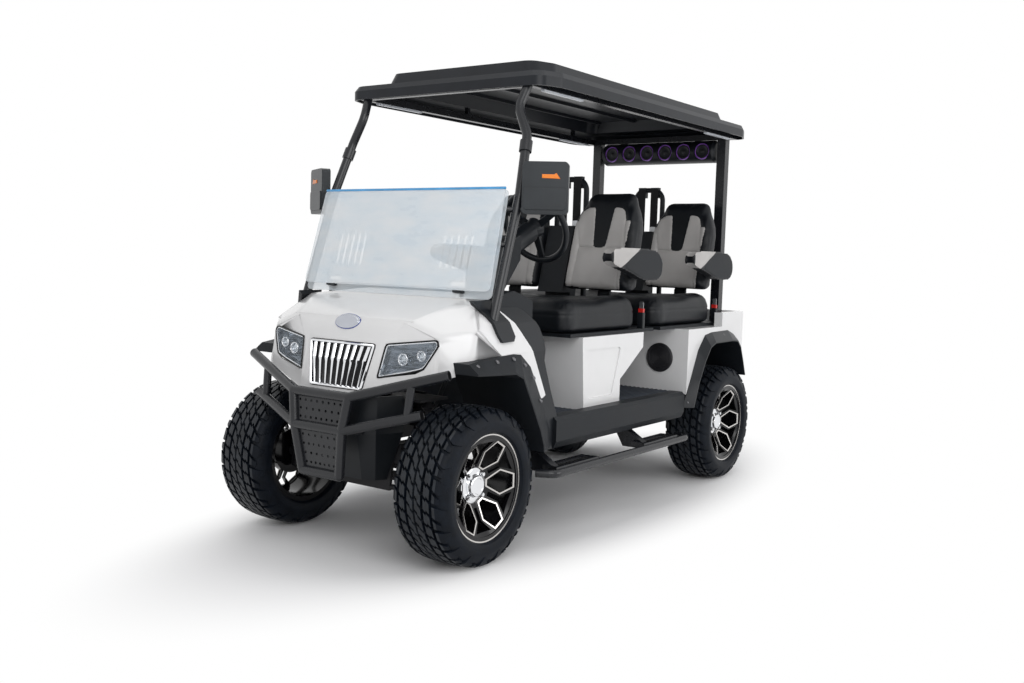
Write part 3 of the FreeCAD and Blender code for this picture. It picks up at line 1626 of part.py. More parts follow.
def side_step():
    """Step tube with two pads, on gusset brackets from the cross members."""
    y_front = y_front_axle + step_front_run
    y_rear = y_front_axle + step_rear_run
    inner_x = step_x - step_inset
    ramp = step_inset / 2
    tube = bent_tube([
        point(inner_x, y_front, step_z), point(step_x, y_front + ramp, step_z),
        point(step_x, y_rear - ramp, step_z), point(inner_x, y_rear, step_z)], step_tube, step_bend)
    pads = [step_pad(between(y_front, y_rear, share)) for share in step_pad_shares]
    gussets = [step_gusset(run) for run in cross_member_runs[:2]]
    return fused([tube] + pads + gussets)


def side_steps():
    return on_both_sides(side_step())


def seatback_face(z):
    """How far a seatback's front face leans back at a height."""
    return seatback_lean * (z - seatback_low_z) / (seatback_high_z - seatback_low_z)


def cushion(row):
    """Seat cushion with rounded corners and a crowned top edge."""
    y = row_y(row)
    loop = plan_prism([
        (-cushion_half, y - cushion_ahead), (cushion_half, y - cushion_ahead),
        (cushion_half, y + cushion_behind), (-cushion_half, y + cushion_behind)],
        cushion_low_z, cushion_high_z, cushion_corner)
    top = [edge for edge in loop.Edges if edge.BoundBox.ZMin > cushion_high_z - fit_gap]
    return loop.makeFillet(cushion_crown, top)


def seatback(row):
    """Seatback with a narrower shouldered head, leaning back."""
    y = row_y(row)
    shoulder = between(seatback_low_z, seatback_high_z, seatback_shoulder_share)
    outline = [
        (seatback_inner, seatback_low_z), (seatback_outer, seatback_low_z), (seatback_outer, shoulder),
        (seatback_outer - seatback_top_inset, seatback_high_z),
        (seatback_inner + seatback_top_inset, seatback_high_z), (seatback_inner, shoulder)]
    deepest = y + seatback_lean + seatback_thickness
    front = front_prism(outline, y - overrun, deepest + overrun, seatback_corner)
    slab = side_prism([
        (y, seatback_low_z), (y + seatback_lean, seatback_high_z),
        (y + seatback_lean + seatback_top_thickness, seatback_high_z),
        (y + seatback_thickness, seatback_low_z)], seatback_inner, seatback_outer)
    return front.common(slab)


def armrest_pin(row, radius, reach):
    y_pin = row_y(row) + armrest_pin_run
    start = seatback_outer - armrest_pin_reach
    return rod(point(start, y_pin, armrest_pin_z), point(start + reach, y_pin, armrest_pin_z), radius)


def seatbacks(row):
    """The row's two seatbacks, each with the pin its armrest turns on."""
    reach = armrest_pin_reach + armrest_gap + armrest_width
    return on_both_sides(fused([seatback(row), armrest_pin(row, armrest_pin_radius, reach)]))


def armrest(row):
    """Padded arm on the outer side of a seatback, built for the left."""
    x_low = seatback_outer + armrest_gap
    outline = [(row_y(row) + run, z) for run, z in armrest_points]
    arm = side_prism(outline, x_low, x_low + armrest_width, armrest_corner)
    bore = armrest_pin(row, armrest_pin_radius + fit_gap, armrest_pin_reach + armrest_width + 2 * overrun)
    return arm.cut(bore)


def seat_frame(row):
    """Tray under a row's cushion, its seatback supports, middle panel and belt hoop."""
    y = row_y(row)
    tray_low = waist_z + fit_gap
    tray_top = cushion_low_z - fit_gap
    y_rear = y + hoop_run + hoop_tube
    pieces = [block(-tray_half, tray_half, y - tray_ahead, y_rear, tray_low, tray_top)]
    y_foot = y + support_run
    rear_low = y + seatback_thickness + fit_gap
    rear_lean = seatback_lean + seatback_top_thickness - seatback_thickness
    rear_slope = rear_lean / (seatback_high_z - seatback_low_z)
    rear_high = rear_low + rear_slope * (support_high_z - seatback_low_z)
    support = [
        (y_foot, tray_low), (y_foot, seatback_low_z - fit_gap), (rear_low, seatback_low_z - fit_gap),
        (rear_high, support_high_z), (rear_high + support_wall, support_high_z),
        (rear_low + support_wall, seatback_low_z), (rear_low + support_wall, tray_low)]
    middle = (seatback_inner + seatback_outer) / 2
    for side in (-1, 1):
        pieces.append(side_prism(support, side * middle - support_half, side * middle + support_half))
    face_low = y + seatback_face(panel_low_z) + panel_setback
    face_high = y + seatback_face(panel_high_z) + panel_setback
    panel = [
        (y_foot, tray_low), (y_foot, panel_low_z), (face_low, panel_low_z), (face_high, panel_high_z),
        (face_high + panel_depth, panel_high_z), (y_foot + panel_depth, panel_low_z),
        (y_foot + panel_depth, tray_low)]
    panel_half = seatback_inner - fit_gap
    pieces.append(side_prism(panel, -panel_half, panel_half))
    y_hoop = y + hoop_run
    pieces.append(bent_tube([
        point(-hoop_half, y_hoop, tray_low), point(-hoop_half, y_hoop, hoop_top_z),
        point(hoop_half, y_hoop, hoop_top_z), point(hoop_half, y_hoop, tray_low)], hoop_tube, hoop_bend))
    for side in (-1, 1):
        pieces.append(block(
            side * belt_x - belt_width / 2, side * belt_x + belt_width / 2, y_hoop - hoop_tube,
            y_hoop + hoop_tube, hoop_top_z - guide_drop, hoop_top_z + hoop_tube))
    return fused(pieces)


def seat_frames():
    return Part.Compound([seat_frame(row) for row in (0, 1)])


def seat_belts():
    """Webbing from each hoop's guides down behind the middle panel."""
    straps = []
    for row in (0, 1):
        y_high = row_y(row) + hoop_run - hoop_tube - fit_gap
        for side in (-1, 1):
            straps.append(block(side * belt_x - belt_width / 2, side * belt_x + belt_width / 2,
                                y_high - belt_thickness, y_high, belt_low_z, hoop_top_z))
    return Part.Compound(straps)


def belt_buckles():
    """Buckles on short stalks behind the cushions' outer corners."""
    pieces = []
    for row in (0, 1):
        y = row_y(row) + buckle_run
        foot = point(buckle_x, y, cushion_low_z)
        stalk = Part.makeCylinder(stalk_radius, buckle_low_z - cushion_low_z, foot)
        buckle = block(buckle_x - buckle_width / 2, buckle_x + buckle_width / 2, y - buckle_depth / 2,
                       y + buckle_depth / 2, buckle_low_z, buckle_low_z + buckle_height)
        body = fused([stalk, buckle])
        pieces += [body, mirrored(body)]
    return Part.Compound(pieces)


def front_seat_base():
    """Moulded box under the front seat, open below, with a recess in each side."""
    y = row_y(0)
    y_front = y - base_ahead
    y_step = y + base_rear_low
    overhang_z = between(floor_z, waist_z, base_overhang_share)
    knee_z = between(floor_z, waist_z, base_knee_share)
    brow_z = between(floor_z, waist_z, base_brow_share)
    low_z = floor_z + fit_gap
    outer = side_prism([
        (y_front, low_z), (y_front - base_toe, brow_z), (y_front - base_toe, waist_z),
        (y + base_rear_top, waist_z), (y + base_rear_top, overhang_z), (y_step, knee_z), (y_step, low_z)],
        -base_half, base_half)
    inner = block(-base_half + base_wall, base_half - base_wall, y_front + base_wall, y_step - base_wall,
                  floor_z - overrun, waist_z - base_wall)
    recess_low, recess_high = [between(floor_z, waist_z, share) for share in recess_shares]
    recess = side_prism([
        (y_front + base_toe, recess_low), (y_front + base_toe, recess_high),
        (y_step, recess_high), (y_step - 3 * base_toe, recess_low)],
        base_half - recess_depth, base_half + overrun, base_toe / 2)
    return outer.cut(inner).cut(recess).cut(mirrored(recess))


def rear_body_plan(inset, y_front, z_low, z_high):
    """Plan of the rear body with rounded rear corners, open-ended ahead."""
    half = body_half_width - inset
    y_rear = y_rear_axle + rear_body_run - inset
    return plan_prism([(-half, y_front), (half, y_front), (half, y_rear), (-half, y_rear)],
                      z_low, z_high, rear_corner - inset)


def rear_seat_base():
    """Rear seat box with the fenders over the arches and a raised wall round the rear deck."""
    y_front = row_y(1) - rear_base_ahead
    low_z = rail_high_z + fit_gap
    y_ahead = y_front - 2 * rear_corner
    box = rear_body_plan(0, y_ahead, low_z, rear_body_high_z)
    half = body_half_width + overrun
    y_raised = y_rear_axle - rear_wall_run
    box = box.cut(block(-half, half, y_ahead - overrun, y_front, low_z - overrun, rear_body_high_z + overrun))
    box = box.cut(block(-half, half, y_front - overrun, y_raised, waist_z, rear_body_high_z + overrun))
    box = box.cut(rear_body_plan(rear_wall, y_ahead, waist_z, rear_body_high_z + overrun))
    hollow = rear_body_plan(base_wall, y_ahead, low_z - overrun, waist_z - base_wall)
    hollow = hollow.cut(block(-half, half, y_ahead - overrun, y_front + base_wall, 0, waist_z))
    shell = box.cut(hollow)
    opening = arch_opening(rear_body_line, y_rear_axle)[:-2]
    y_open = y_rear_axle + rear_body_run + overrun
    opening += [(y_open, rear_body_line[-1][1]), (y_open, 0), (opening[0][0], 0)]
    cutter = side_prism(opening, arch_inner_x - arch_wall, half)
    shell = shell.cut(cutter).cut(mirrored(cutter))
    y_post = y_rear_axle + post_run
    reach = post_size / 2 + fit_gap
    for side in (-1, 1):
        shell = shell.cut(block(side * post_x - reach, side * post_x + reach, y_post - reach, y_post + reach,
                                waist_z - base_wall - overrun, waist_z + overrun))
        start = point(side * speaker_x, y_front - overrun, speaker_z)
        shell = shell.cut(Part.makeCylinder(speaker_radius + fit_gap, 2 * overrun, start, along_y))
    return shell


def speakers():
    """Round speakers in the front of the rear seat box."""
    y_front = row_y(1) - rear_base_ahead
    start = point(speaker_x, y_front - speaker_ring / 2, speaker_z)
    body = Part.makeCylinder(speaker_radius, speaker_depth, start, along_y)
    dish = Part.makeCone(speaker_radius - speaker_ring, speaker_radius / 3, speaker_depth / 2, start, along_y)
    return on_both_sides(body.cut(dish))


def battery_pack():
    y_mid = row_y(0) + (base_rear_low - base_ahead) / 2
    return block(-battery_width / 2, battery_width / 2, y_mid - battery_length / 2,
                 y_mid + battery_length / 2, floor_z + fit_gap, floor_z + battery_height)


def rear_bumper():
    """Tube bumper on two stays from the frame's tail."""
    y_bumper = total_length / 2 - bumper_radius
    y_end = y_bumper - 2 * bumper_radius
    straight_half = bumper_half - 4 * bumper_radius
    tube = bent_tube([
        point(-bumper_half, y_end, bumper_z), point(-straight_half, y_bumper, bumper_z),
        point(straight_half, y_bumper, bumper_z), point(bumper_half, y_end, bumper_z)],
        bumper_radius, bumper_radius)
    y_tail = total_length / 2 - tail_setback + fit_gap
    stays = []
    for side in (-1, 1):
        x_low = side * rail_x - rail_width / 2
        stays.append(block(x_low, x_low + rail_width, y_tail, y_bumper, rail_low_z, bumper_z))
    return fused([tube] + stays)


def tail_lamps():
    y_low = y_rear_axle + rear_body_run + fit_gap
    half = tail_lamp_width / 2
    rise = tail_lamp_height / 2
    lamp = front_prism([
        (tail_lamp_x - half, tail_lamp_z - rise), (tail_lamp_x + half, tail_lamp_z - rise),
        (tail_lamp_x + half, tail_lamp_z + rise), (tail_lamp_x - half, tail_lamp_z + rise)],
        y_low, y_low + tail_lamp_depth, half / 2)
    return on_both_sides(lamp)


def steering_axis():
    tilt = math.radians(steering_tilt_degrees)
    return point(0, math.cos(tilt), math.sin(tilt))


def steering_centre():
    return point(steering_x, y_front_axle + steering_run, steering_z)


def column_rod(radius, start, end):
    """Cylinder on the column's axis, from one distance below the wheel to another."""
    axis = steering_axis()
    return rod(steering_centre() - axis * end, steering_centre() - axis * start, radius)


def steering_wheel():
    """Ring, spokes and hub, with the stub that turns in the column."""
    axis = steering_axis()
    centre = steering_centre()
    ring = Part.makeTorus(steering_radius - steering_rim, steering_rim, centre, axis)
    hub = Part.makeCone(steering_hub_foot, steering_hub_radius, steering_hub_depth,
                        centre - axis * steering_hub_depth, axis)
    stub = column_rod(shaft_radius, 0, steering_hub_depth + stub_reach)
    pieces = [ring, hub, stub]
    up = along_x.cross(axis)
    for spoke in range(steering_spoke_count):
        angle = math.radians(360 * spoke / steering_spoke_count - 90)
        direction = along_x * math.cos(angle) + up * math.sin(angle)
        across = axis.cross(direction) * steering_spoke_width / 2
        start = centre + direction * steering_hub_radius / 2 - axis * steering_spoke_depth
        end = centre + direction * (steering_radius - steering_rim) - axis * steering_spoke_depth / 2
        narrow = across * steering_spoke_share
        corners = [start - across, start + across, end + narrow, end - narrow]
        pieces.append(prism(sharp_loop(corners), axis * steering_spoke_depth))
    return fused(pieces)


def steering_column():
    """Column bored for the wheel's stub, its shroud, and the shaft down to the rack."""
    top = steering_hub_depth + armrest_gap
    column = column_rod(column_radius, top, column_length)
    shroud = column_rod(shroud_radius, top, shroud_end)
    bore = column_rod(shaft_radius + fit_gap, 0, steering_hub_depth + stub_reach + fit_gap)
    body = fused([column, shroud, steering_shaft(shaft_radius)]).cut(bore)
    y_rack = y_front_axle + steering_arm_length
    z_rack = steering_arm_z - tie_rod_drop
    housing = rod(point(-rack_housing_half, y_rack, z_rack), point(rack_housing_half, y_rack, z_rack),
                  rack_housing_radius + fit_gap)
    return body.cut(housing)


def pedals():
    """Brake and accelerator, hung from the dashboard's underside."""
    pieces = []
    y_low = y_front_axle + pedal_run
    y_hang = y_front_axle + pedal_hang_run
    above = block(0, dash_half, y_front_axle, y_low + overrun, dash_low_z - fit_gap, hood_rear_z)
    for index in (0, 1):
        x_mid = pedal_x + pedal_spacing * index
        plate = block(x_mid - pedal_width / 2, x_mid + pedal_width / 2, y_low, y_low + pedal_thickness,
                      pedal_z, pedal_z + pedal_height)
        arm = rod(point(x_mid, y_low + pedal_thickness / 2, pedal_z + pedal_height / 2),
                  point(x_mid, y_hang, dash_low_z + dash_wall), pedal_arm_radius)
        pieces.append(fused([plate, arm]).cut(above))
    return Part.Compound(pieces)


parts = {}


def add(name, shape):
    parts[name] = shape


left_tyre = tyre()
left_rim = rim()
for end, y_axle in (("front", y_front_axle), ("rear", y_rear_axle)):
    for name, side in (("left", 1), ("right", -1)):
        add("tyre_" + end + "_" + name, placed_wheel(left_tyre, side, y_axle))
        add("rim_" + end + "_" + name, placed_wheel(left_rim, side, y_axle))
add("knuckle_left", knuckle())
add("knuckle_right", mirrored(knuckle()))
add("tie_rods", tie_rods())
add("front_suspension", front_suspension())
add("chassis_frame", chassis_frame())
add("rear_axle", rear_axle())
add("front_cowl", front_cowl())
add("grille", grille())
add("headlamps", headlamps())
add("front_valance", front_valance())
add("brush_guard", brush_guard())
add("front_arches", on_both_sides(front_arch()))
add("rear_arches", on_both_sides(rear_arch()))

add("steering_wheel", steering_wheel())
add("steering_column", steering_column())
add("side_trim", side_trim())
add("dashboard", dashboard())
add("windshield", windshield())
add("front_pillars", front_pillars())
add("rear_posts", rear_posts())
add("roof", roof())
add("roof_frame", roof_frame())
add("roof_lamps", roof_lamps())
add("sound_bar", sound_bar())
add("mirrors", mirrors())
add("floor_pan", floor_pan())
add("sills", sills())
add("side_steps", side_steps())
for row, name in enumerate(("front", "rear")):
    add(name + "_cushion", cushion(row))
    add(name + "_seatbacks", seatbacks(row))
    add("armrest_" + name + "_left", armrest(row))
    add("armrest_" + name + "_right", mirrored(armrest(row)))
add("seat_frames", seat_frames())
add("seat_belts", seat_belts())
add("belt_buckles", belt_buckles())
add("front_seat_base", front_seat_base())
add("rear_seat_base", rear_seat_base())
add("speakers", speakers())
add("battery_pack", battery_pack())
add("rear_bumper", rear_bumper())
add("tail_lamps", tail_lamps())
add("pedals", pedals())

os.makedirs("parts", exist_ok=True)
for name, shape in parts.items():
    shape.exportStep("parts/" + name + ".step")
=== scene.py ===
"""Golf cart scene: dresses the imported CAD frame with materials, padded seats, tyres and small details."""
import math

import bmesh
import bpy
from mathutils import Matrix, Vector
from mathutils.bvhtree import BVHTree
from mathutils.geometry import delaunay_2d_cdt


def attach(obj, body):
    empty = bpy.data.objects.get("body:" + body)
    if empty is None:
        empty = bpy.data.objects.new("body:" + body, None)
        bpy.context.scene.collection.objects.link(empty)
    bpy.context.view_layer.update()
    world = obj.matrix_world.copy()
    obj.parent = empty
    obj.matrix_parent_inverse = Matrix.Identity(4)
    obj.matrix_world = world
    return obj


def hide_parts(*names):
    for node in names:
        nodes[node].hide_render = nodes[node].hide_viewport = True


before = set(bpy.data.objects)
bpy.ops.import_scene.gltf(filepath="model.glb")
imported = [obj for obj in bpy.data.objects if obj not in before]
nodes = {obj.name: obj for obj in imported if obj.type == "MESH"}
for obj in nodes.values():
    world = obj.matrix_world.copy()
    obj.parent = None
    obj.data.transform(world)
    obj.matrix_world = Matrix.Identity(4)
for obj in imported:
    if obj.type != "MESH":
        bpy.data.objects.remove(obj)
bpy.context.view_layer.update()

# Places shared with the CAD part, in metres
FRONT_AXLE = -1.100
REAR_AXLE = 1.024
AXLES = {"front": FRONT_AXLE, "rear": REAR_AXLE}
AXLE_HEIGHT = 0.302
WHEEL_X = 0.478
ROWS = {"front": 0.122, "rear": 0.942}
SIDES = {"left": 1, "right": -1}
SMOOTH_ANGLE = math.radians(28)
MM = 0.001
# Radius that stands for the axis where a turned profile ends on it
AXIS = 0.00005


# ---- Materials ----

def node(tree, kind, **inputs):
    """A new shader node, its named inputs set to a value or linked to another node's output."""
    made = tree.nodes.new(kind)
    for name, value in inputs.items():
        socket = made.inputs[name.replace("_", " ")]
        if isinstance(value, bpy.types.NodeSocket):
            tree.links.new(value, socket)
        else:
            socket.default_value = value
    return made


def combined(tree, operation, first, second):
    """Two outputs taken through one math node."""
    made = tree.nodes.new("ShaderNodeMath")
    made.operation = operation
    tree.links.new(first, made.inputs[0])
    tree.links.new(second, made.inputs[1])
    return made.outputs["Value"]


def principled(name, colour, roughness, metallic=0.0, **sockets):
    """A new material with one Principled shader; returns the material and that shader."""
    material = bpy.data.materials.new(name)
    material.use_nodes = True
    shader = material.node_tree.nodes["Principled BSDF"]
    shader.inputs["Base Color"].default_value = (*colour, 1)
    shader.inputs["Roughness"].default_value = roughness
    shader.inputs["Metallic"].default_value = metallic
    for socket, value in sockets.items():
        shader.inputs[socket.replace("_", " ")].default_value = value
    return material, shader


def object_place(tree, scale=(1, 1, 1)):
    """Object coordinates, scaled."""
    place = node(tree, "ShaderNodeTexCoord").outputs["Object"]
    return node(tree, "ShaderNodeMapping", Vector=place, Scale=scale).outputs["Vector"]


def noise_height(tree, scale, detail=3.0, stretch=(1, 1, 1)):
    place = object_place(tree, stretch)
    return node(tree, "ShaderNodeTexNoise", Vector=place, Scale=scale, Detail=detail).outputs["Fac"]


def cell_height(tree, scale):
    return node(tree, "ShaderNodeTexVoronoi", Vector=object_place(tree), Scale=scale).outputs["Distance"]


def vary_colour(tree, shader, height, dark, light, low=0.35, high=0.65):
    """Colour that drifts between two tones with a height field."""
    ramp = node(tree, "ShaderNodeValToRGB", Fac=height)
    for index, (position, tone) in enumerate(((low, dark), (high, light))):
        ramp.color_ramp.elements[index].position = position
        ramp.color_ramp.elements[index].color = (*tone, 1)
    tree.links.new(ramp.outputs["Color"], shader.inputs["Base Color"])


def vary_roughness(tree, shader, height, low, high):
    span = node(tree, "ShaderNodeMapRange", Value=height, To_Min=low, To_Max=high)
    tree.links.new(span.outputs["Result"], shader.inputs["Roughness"])


def bump(tree, shader, height, strength, distance):
    relief = node(tree, "ShaderNodeBump", Height=height, Strength=strength, Distance=distance)
    tree.links.new(relief.outputs["Normal"], shader.inputs["Normal"])


def toned(name, colour, roughness, grain_scale, grain, spread=0.12, tone_scale=9.0, grain_depth=0.0006,
          metallic=0.0, cells=False, shine=0.5, **sockets):
    """A finish whose tone drifts a little and whose surface has a fine grain."""
    material, shader = principled(name, colour, roughness, metallic, **sockets)
    shader.inputs["Specular IOR Level"].default_value = shine
    tree = material.node_tree
    dark = [channel * (1 - spread) for channel in colour]
    light = [min(channel * (1 + spread), 1) for channel in colour]
    drift = noise_height(tree, tone_scale)
    vary_colour(tree, shader, drift, dark, light)
    vary_roughness(tree, shader, drift, roughness * 0.88, min(roughness * 1.12, 1))
    height = cell_height(tree, grain_scale) if cells else noise_height(tree, grain_scale)
    bump(tree, shader, height, grain, grain_depth)
    return material


def milky_glass():
    """Clear pane under a pale protective film with faint wrinkles."""
    material, shader = principled("milky_glass", (0.86, 0.92, 0.97), 0.28, Alpha=0.42, IOR=1.45)
    tree = material.node_tree
    film = noise_height(tree, 7.0, 5.0, (1, 1, 3))
    vary_colour(tree, shader, film, (0.80, 0.89, 0.96), (0.93, 0.96, 0.98), 0.3, 0.7)
    vary_roughness(tree, shader, film, 0.2, 0.4)
    bump(tree, shader, noise_height(tree, 16.0, 4.0, (1, 1, 2)), 0.25, 0.004)
    material.surface_render_method = "BLENDED"
    return material


white_paint = toned("white_paint", (0.78, 0.78, 0.785), 0.24, 260, 0.02, spread=0.012, Coat_Weight=0.6,
                    Coat_Roughness=0.05)
charcoal = toned("charcoal_shell", (0.012, 0.014, 0.018), 0.34, 1200, 0.12, shine=0.24)
powder_black = toned("powder_black", (0.010, 0.011, 0.014), 0.27, 1500, 0.10, shine=0.45)
grained_plastic = toned("grained_plastic", (0.010, 0.012, 0.015), 0.48, 1400, 0.3, cells=True, shine=0.2)
smooth_plastic = toned("smooth_plastic", (0.010, 0.012, 0.015), 0.34, 900, 0.06, shine=0.28)
mirror_shell = toned("mirror_shell", (0.022, 0.026, 0.030), 0.34, 1300, 0.1, shine=0.35)
red_plastic = toned("red_plastic", (0.62, 0.02, 0.015), 0.3, 500, 0.05, spread=0.08)
battery_case = toned("battery_case", (0.03, 0.03, 0.035), 0.55, 800, 0.2)
deep_black = toned("deep_black", (0.003, 0.003, 0.0035), 0.3, 600, 0.05, shine=0.25)

chassis_black = toned("chassis_black", (0.012, 0.012, 0.014), 0.5, 500, 0.2, spread=0.3, shine=0.25)
axle_iron = toned("axle_iron", (0.045, 0.045, 0.048), 0.6, 350, 0.4, spread=0.3, metallic=0.3)
steel = toned("zinc_steel", (0.55, 0.56, 0.58), 0.32, 800, 0.1, spread=0.1, metallic=1.0)
steel_dark = toned("bolt_steel", (0.20, 0.20, 0.21), 0.35, 900, 0.1, spread=0.15, metallic=1.0)
chrome = toned("chrome", (0.80, 0.81, 0.83), 0.08, 300, 0.01, spread=0.02, metallic=1.0)
rim_black = toned("rim_black", (0.004, 0.004, 0.005), 0.14, 400, 0.02, shine=0.35)
machined = toned("machined_alloy", (0.62, 0.60, 0.58), 0.24, 900, 0.08, spread=0.04, metallic=1.0)

tyre_rubber = toned("tyre_rubber", (0.004, 0.006, 0.010), 0.5, 900, 0.25, spread=0.25, tone_scale=30, shine=0.13)
# Lighter rubber for the tread's outer faces: painted light, with the darker tyre rubber left in the grooves and on the
# sidewalls as painted shade
tread_painted_light = toned("tread_painted_light", (0.014, 0.017, 0.022), 0.42, 900, 0.3, spread=0.35, tone_scale=40, shine=0.3)
rubber_pad = toned("rubber_pad", (0.012, 0.012, 0.013), 0.7, 900, 0.3, spread=0.2, shine=0.25)
floor_mat = toned("floor_mat", (0.020, 0.026, 0.036), 0.6, 600, 0.4, spread=0.2, cells=True, shine=0.3)
vinyl_black = toned("vinyl_black", (0.007, 0.0085, 0.011), 0.38, 480, 0.35, spread=0.15, grain_depth=0.0008, cells=True,
                    shine=0.24)
vinyl_grey = toned("vinyl_grey", (0.47, 0.455, 0.445), 0.45, 480, 0.35, spread=0.05, grain_depth=0.0008, cells=True)
webbing = toned("webbing", (0.012, 0.012, 0.014), 0.7, 1100, 0.5, spread=0.3, tone_scale=900, shine=0.25)

lamp_clear = toned("lamp_clear", (0.75, 0.80, 0.86), 0.06, 200, 0.03, spread=0.04)
lens_clear = toned("lens_clear", (0.62, 0.70, 0.78), 0.03, 120, 0.01, spread=0.03, Alpha=0.10)
lens_clear.surface_render_method = "BLENDED"
reflector = toned("reflector", (0.13, 0.15, 0.18), 0.3, 160, 0.1, spread=0.4, tone_scale=24, metallic=0.8)
projector_glass = toned("projector_glass", (0.62, 0.66, 0.70), 0.05, 90, 0.05, spread=0.2, metallic=0.8)
red_lens = toned("red_lens", (0.34, 0.006, 0.008), 0.12, 180, 0.25, spread=0.1, Coat_Weight=1.0)
amber_lens = toned("amber_lens", (0.85, 0.22, 0.015), 0.25, 260, 0.2, spread=0.1)
led_strip = toned("led_strip", (0.72, 0.75, 0.80), 0.3, 300, 0.1, spread=0.03)
edge_film = toned("edge_film", (0.08, 0.36, 0.70), 0.2, 300, 0.05, spread=0.15)
film_glass = milky_glass()

badge_silver = toned("badge_silver", (0.50, 0.52, 0.57), 0.22, 500, 0.05, spread=0.04, metallic=0.7)
badge_blue = toned("badge_blue", (0.045, 0.075, 0.30), 0.25, 500, 0.05, spread=0.08)
violet_ring = toned("violet_ring", (0.26, 0.09, 0.50), 0.3, 700, 0.05, spread=0.1)
cone_black = toned("cone_black", (0.014, 0.014, 0.017), 0.42, 700, 0.2, spread=0.2, shine=0.35)

NODE_FINISHES = [
    (white_paint, "front_cowl front_seat_base rear_seat_base"), (charcoal, "roof"),
    (powder_black, "brush_guard front_pillars rear_posts roof_frame side_steps rear_bumper"),
    (grained_plastic, "front_arches dashboard sills seat_frames"), (mirror_shell, "mirrors"),
    (smooth_plastic, "front_valance rear_arches side_trim steering_wheel steering_column sound_bar speakers"),
    (red_plastic, "belt_buckles"), (battery_case, "battery_pack"), (axle_iron, "rear_axle"), (steel, "tie_rods"),
    (chassis_black, "knuckle front_suspension chassis_frame pedals"), (chrome, "grille"), (rim_black, "rim"),
    (tyre_rubber, "tyre"), (floor_mat, "floor_pan"), (vinyl_black, "front_cushion rear_cushion armrest"),
    (vinyl_grey, "front_seatbacks rear_seatbacks"), (webbing, "seat_belts"), (lamp_clear, "headlamps"),
    (red_lens, "tail_lamps"), (led_strip, "roof_lamps"), (film_glass, "windshield"),
]


def dress_nodes():
    """Each CAD node gets its finish, found by its name or by the first word of it."""
    finishes = {name: finish for finish, names in NODE_FINISHES for name in names.split()}
    for name, obj in nodes.items():
        finish = finishes.get(name) or finishes[name.split("_")[0]]
        obj.data.materials.clear()
        obj.data.materials.append(finish)


# ---- Outlines and forms ----

def smooth(value, low, high):
    """0 below low, 1 above high, smooth between."""
    share = min(max((value - low) / (high - low), 0), 1)
    return share * share * (3 - 2 * share)


def shrunk(outline, distance):
    """Closed outline moved inwards by a distance."""
    moved = []
    count = len(outline)
    for index, corner in enumerate(outline):
        here = Vector(corner)
        before = (here - Vector(outline[index - 1])).normalized()
        after = (Vector(outline[(index + 1) % count]) - here).normalized()
        inward = Vector((-(before.y + after.y), before.x + after.x)).normalized()
        stretch = distance / max(inward.dot(Vector((-before.y, before.x))), 0.4)
        moved.append(tuple(here + inward * stretch))
    return moved


def finer(outline, step):
    """Closed outline with points no further apart than a step."""
    points = []
    for index, start in enumerate(outline):
        end = outline[(index + 1) % len(outline)]
        parts = max(1, round(math.dist(start, end) / step))
        for part in range(parts):
            share = part / parts
            points.append((start[0] + (end[0] - start[0]) * share, start[1] + (end[1] - start[1]) * share))
    return points


def rounded(outline, passes):
    """Closed outline with its corners cut again and again."""
    for _ in range(passes):
        cut = []
        for index, start in enumerate(outline):
            end = outline[(index + 1) % len(outline)]
            for share in (0.25, 0.75):
                cut.append(tuple(a + (b - a) * share for a, b in zip(start, end)))
        outline = cut
    return outline


def corners_cut(outline, reach):
    """Closed outline with each corner replaced by a short arc of three points."""
    cut = []
    count = len(outline)
    for index, corner in enumerate(outline):
        here = Vector(corner)
        before = Vector(outline[index - 1]) - here
        after = Vector(outline[(index + 1) % count]) - here
        first = here + before.normalized() * min(reach, before.length * 0.45)
        last = here + after.normalized() * min(reach, after.length * 0.45)
        cut += [tuple(first), tuple((first + last) * 0.25 + here * 0.5), tuple(last)]
    return cut


def rounded_loop(half_x, half_y, radius, count=9):
    """Closed outline of a rounded rectangle about the origin."""
    points = []
    for corner, (sx, sy) in enumerate(((1, 1), (-1, 1), (-1, -1), (1, -1))):
        for step in range(count):
            angle = math.pi / 2 * (corner + step / (count - 1))
            points.append((sx * (half_x - radius) + radius * math.cos(angle),
                           sy * (half_y - radius) + radius * math.sin(angle)))
    return points


def skin(bm, loops, closed=False):
    """Quads between neighbouring loops of points; closed joins the last loop to the first too."""
    rings = [[bm.verts.new(point) for point in loop] for loop in loops]
    for low, high in zip(rings, rings[1:] + rings[:1] if closed else rings[1:]):
        for index in range(len(low)):
            after = (index + 1) % len(low)
            bm.faces.new((low[index], low[after], high[after], high[index]))
    return rings


def lofted(loops, bm=None):
    """Closed form through loops of points with equal counts, in a new bmesh or in a given one."""
    bm = bm or bmesh.new()
    rings = skin(bm, loops)
    bm.faces.new(rings[0][::-1])
    bm.faces.new(rings[-1])
    bmesh.ops.recalc_face_normals(bm, faces=bm.faces)
    return bm


def ellipse(half_x, half_y, count):
    turns = [step * math.tau / count for step in range(count)]
    return [(half_x * math.cos(turn), half_y * math.sin(turn)) for turn in turns]


def lathe(bm, profile, turns, closed=False):
    """Surface of revolution about X through (sideways, radius) pairs in metres."""
    skin(bm, [[(x, y, z) for y, z in ellipse(radius, radius, turns)] for x, radius in profile], closed)


def mesh_of(bm, material, angle=SMOOTH_ANGLE):
    """Turns a bmesh into a mesh with outward normals and smooth shading up to an angle."""
    bmesh.ops.recalc_face_normals(bm, faces=bm.faces)
    mesh = bpy.data.meshes.new("form")
    bm.to_mesh(mesh)
    bm.free()
    mesh.materials.append(material)
    mesh.shade_smooth()
    mesh.set_sharp_from_angle(angle=angle)
    return mesh


def turned(profile, turns, material, closed=False):
    bm = bmesh.new()
    lathe(bm, profile, turns, closed)
    return mesh_of(bm, material)


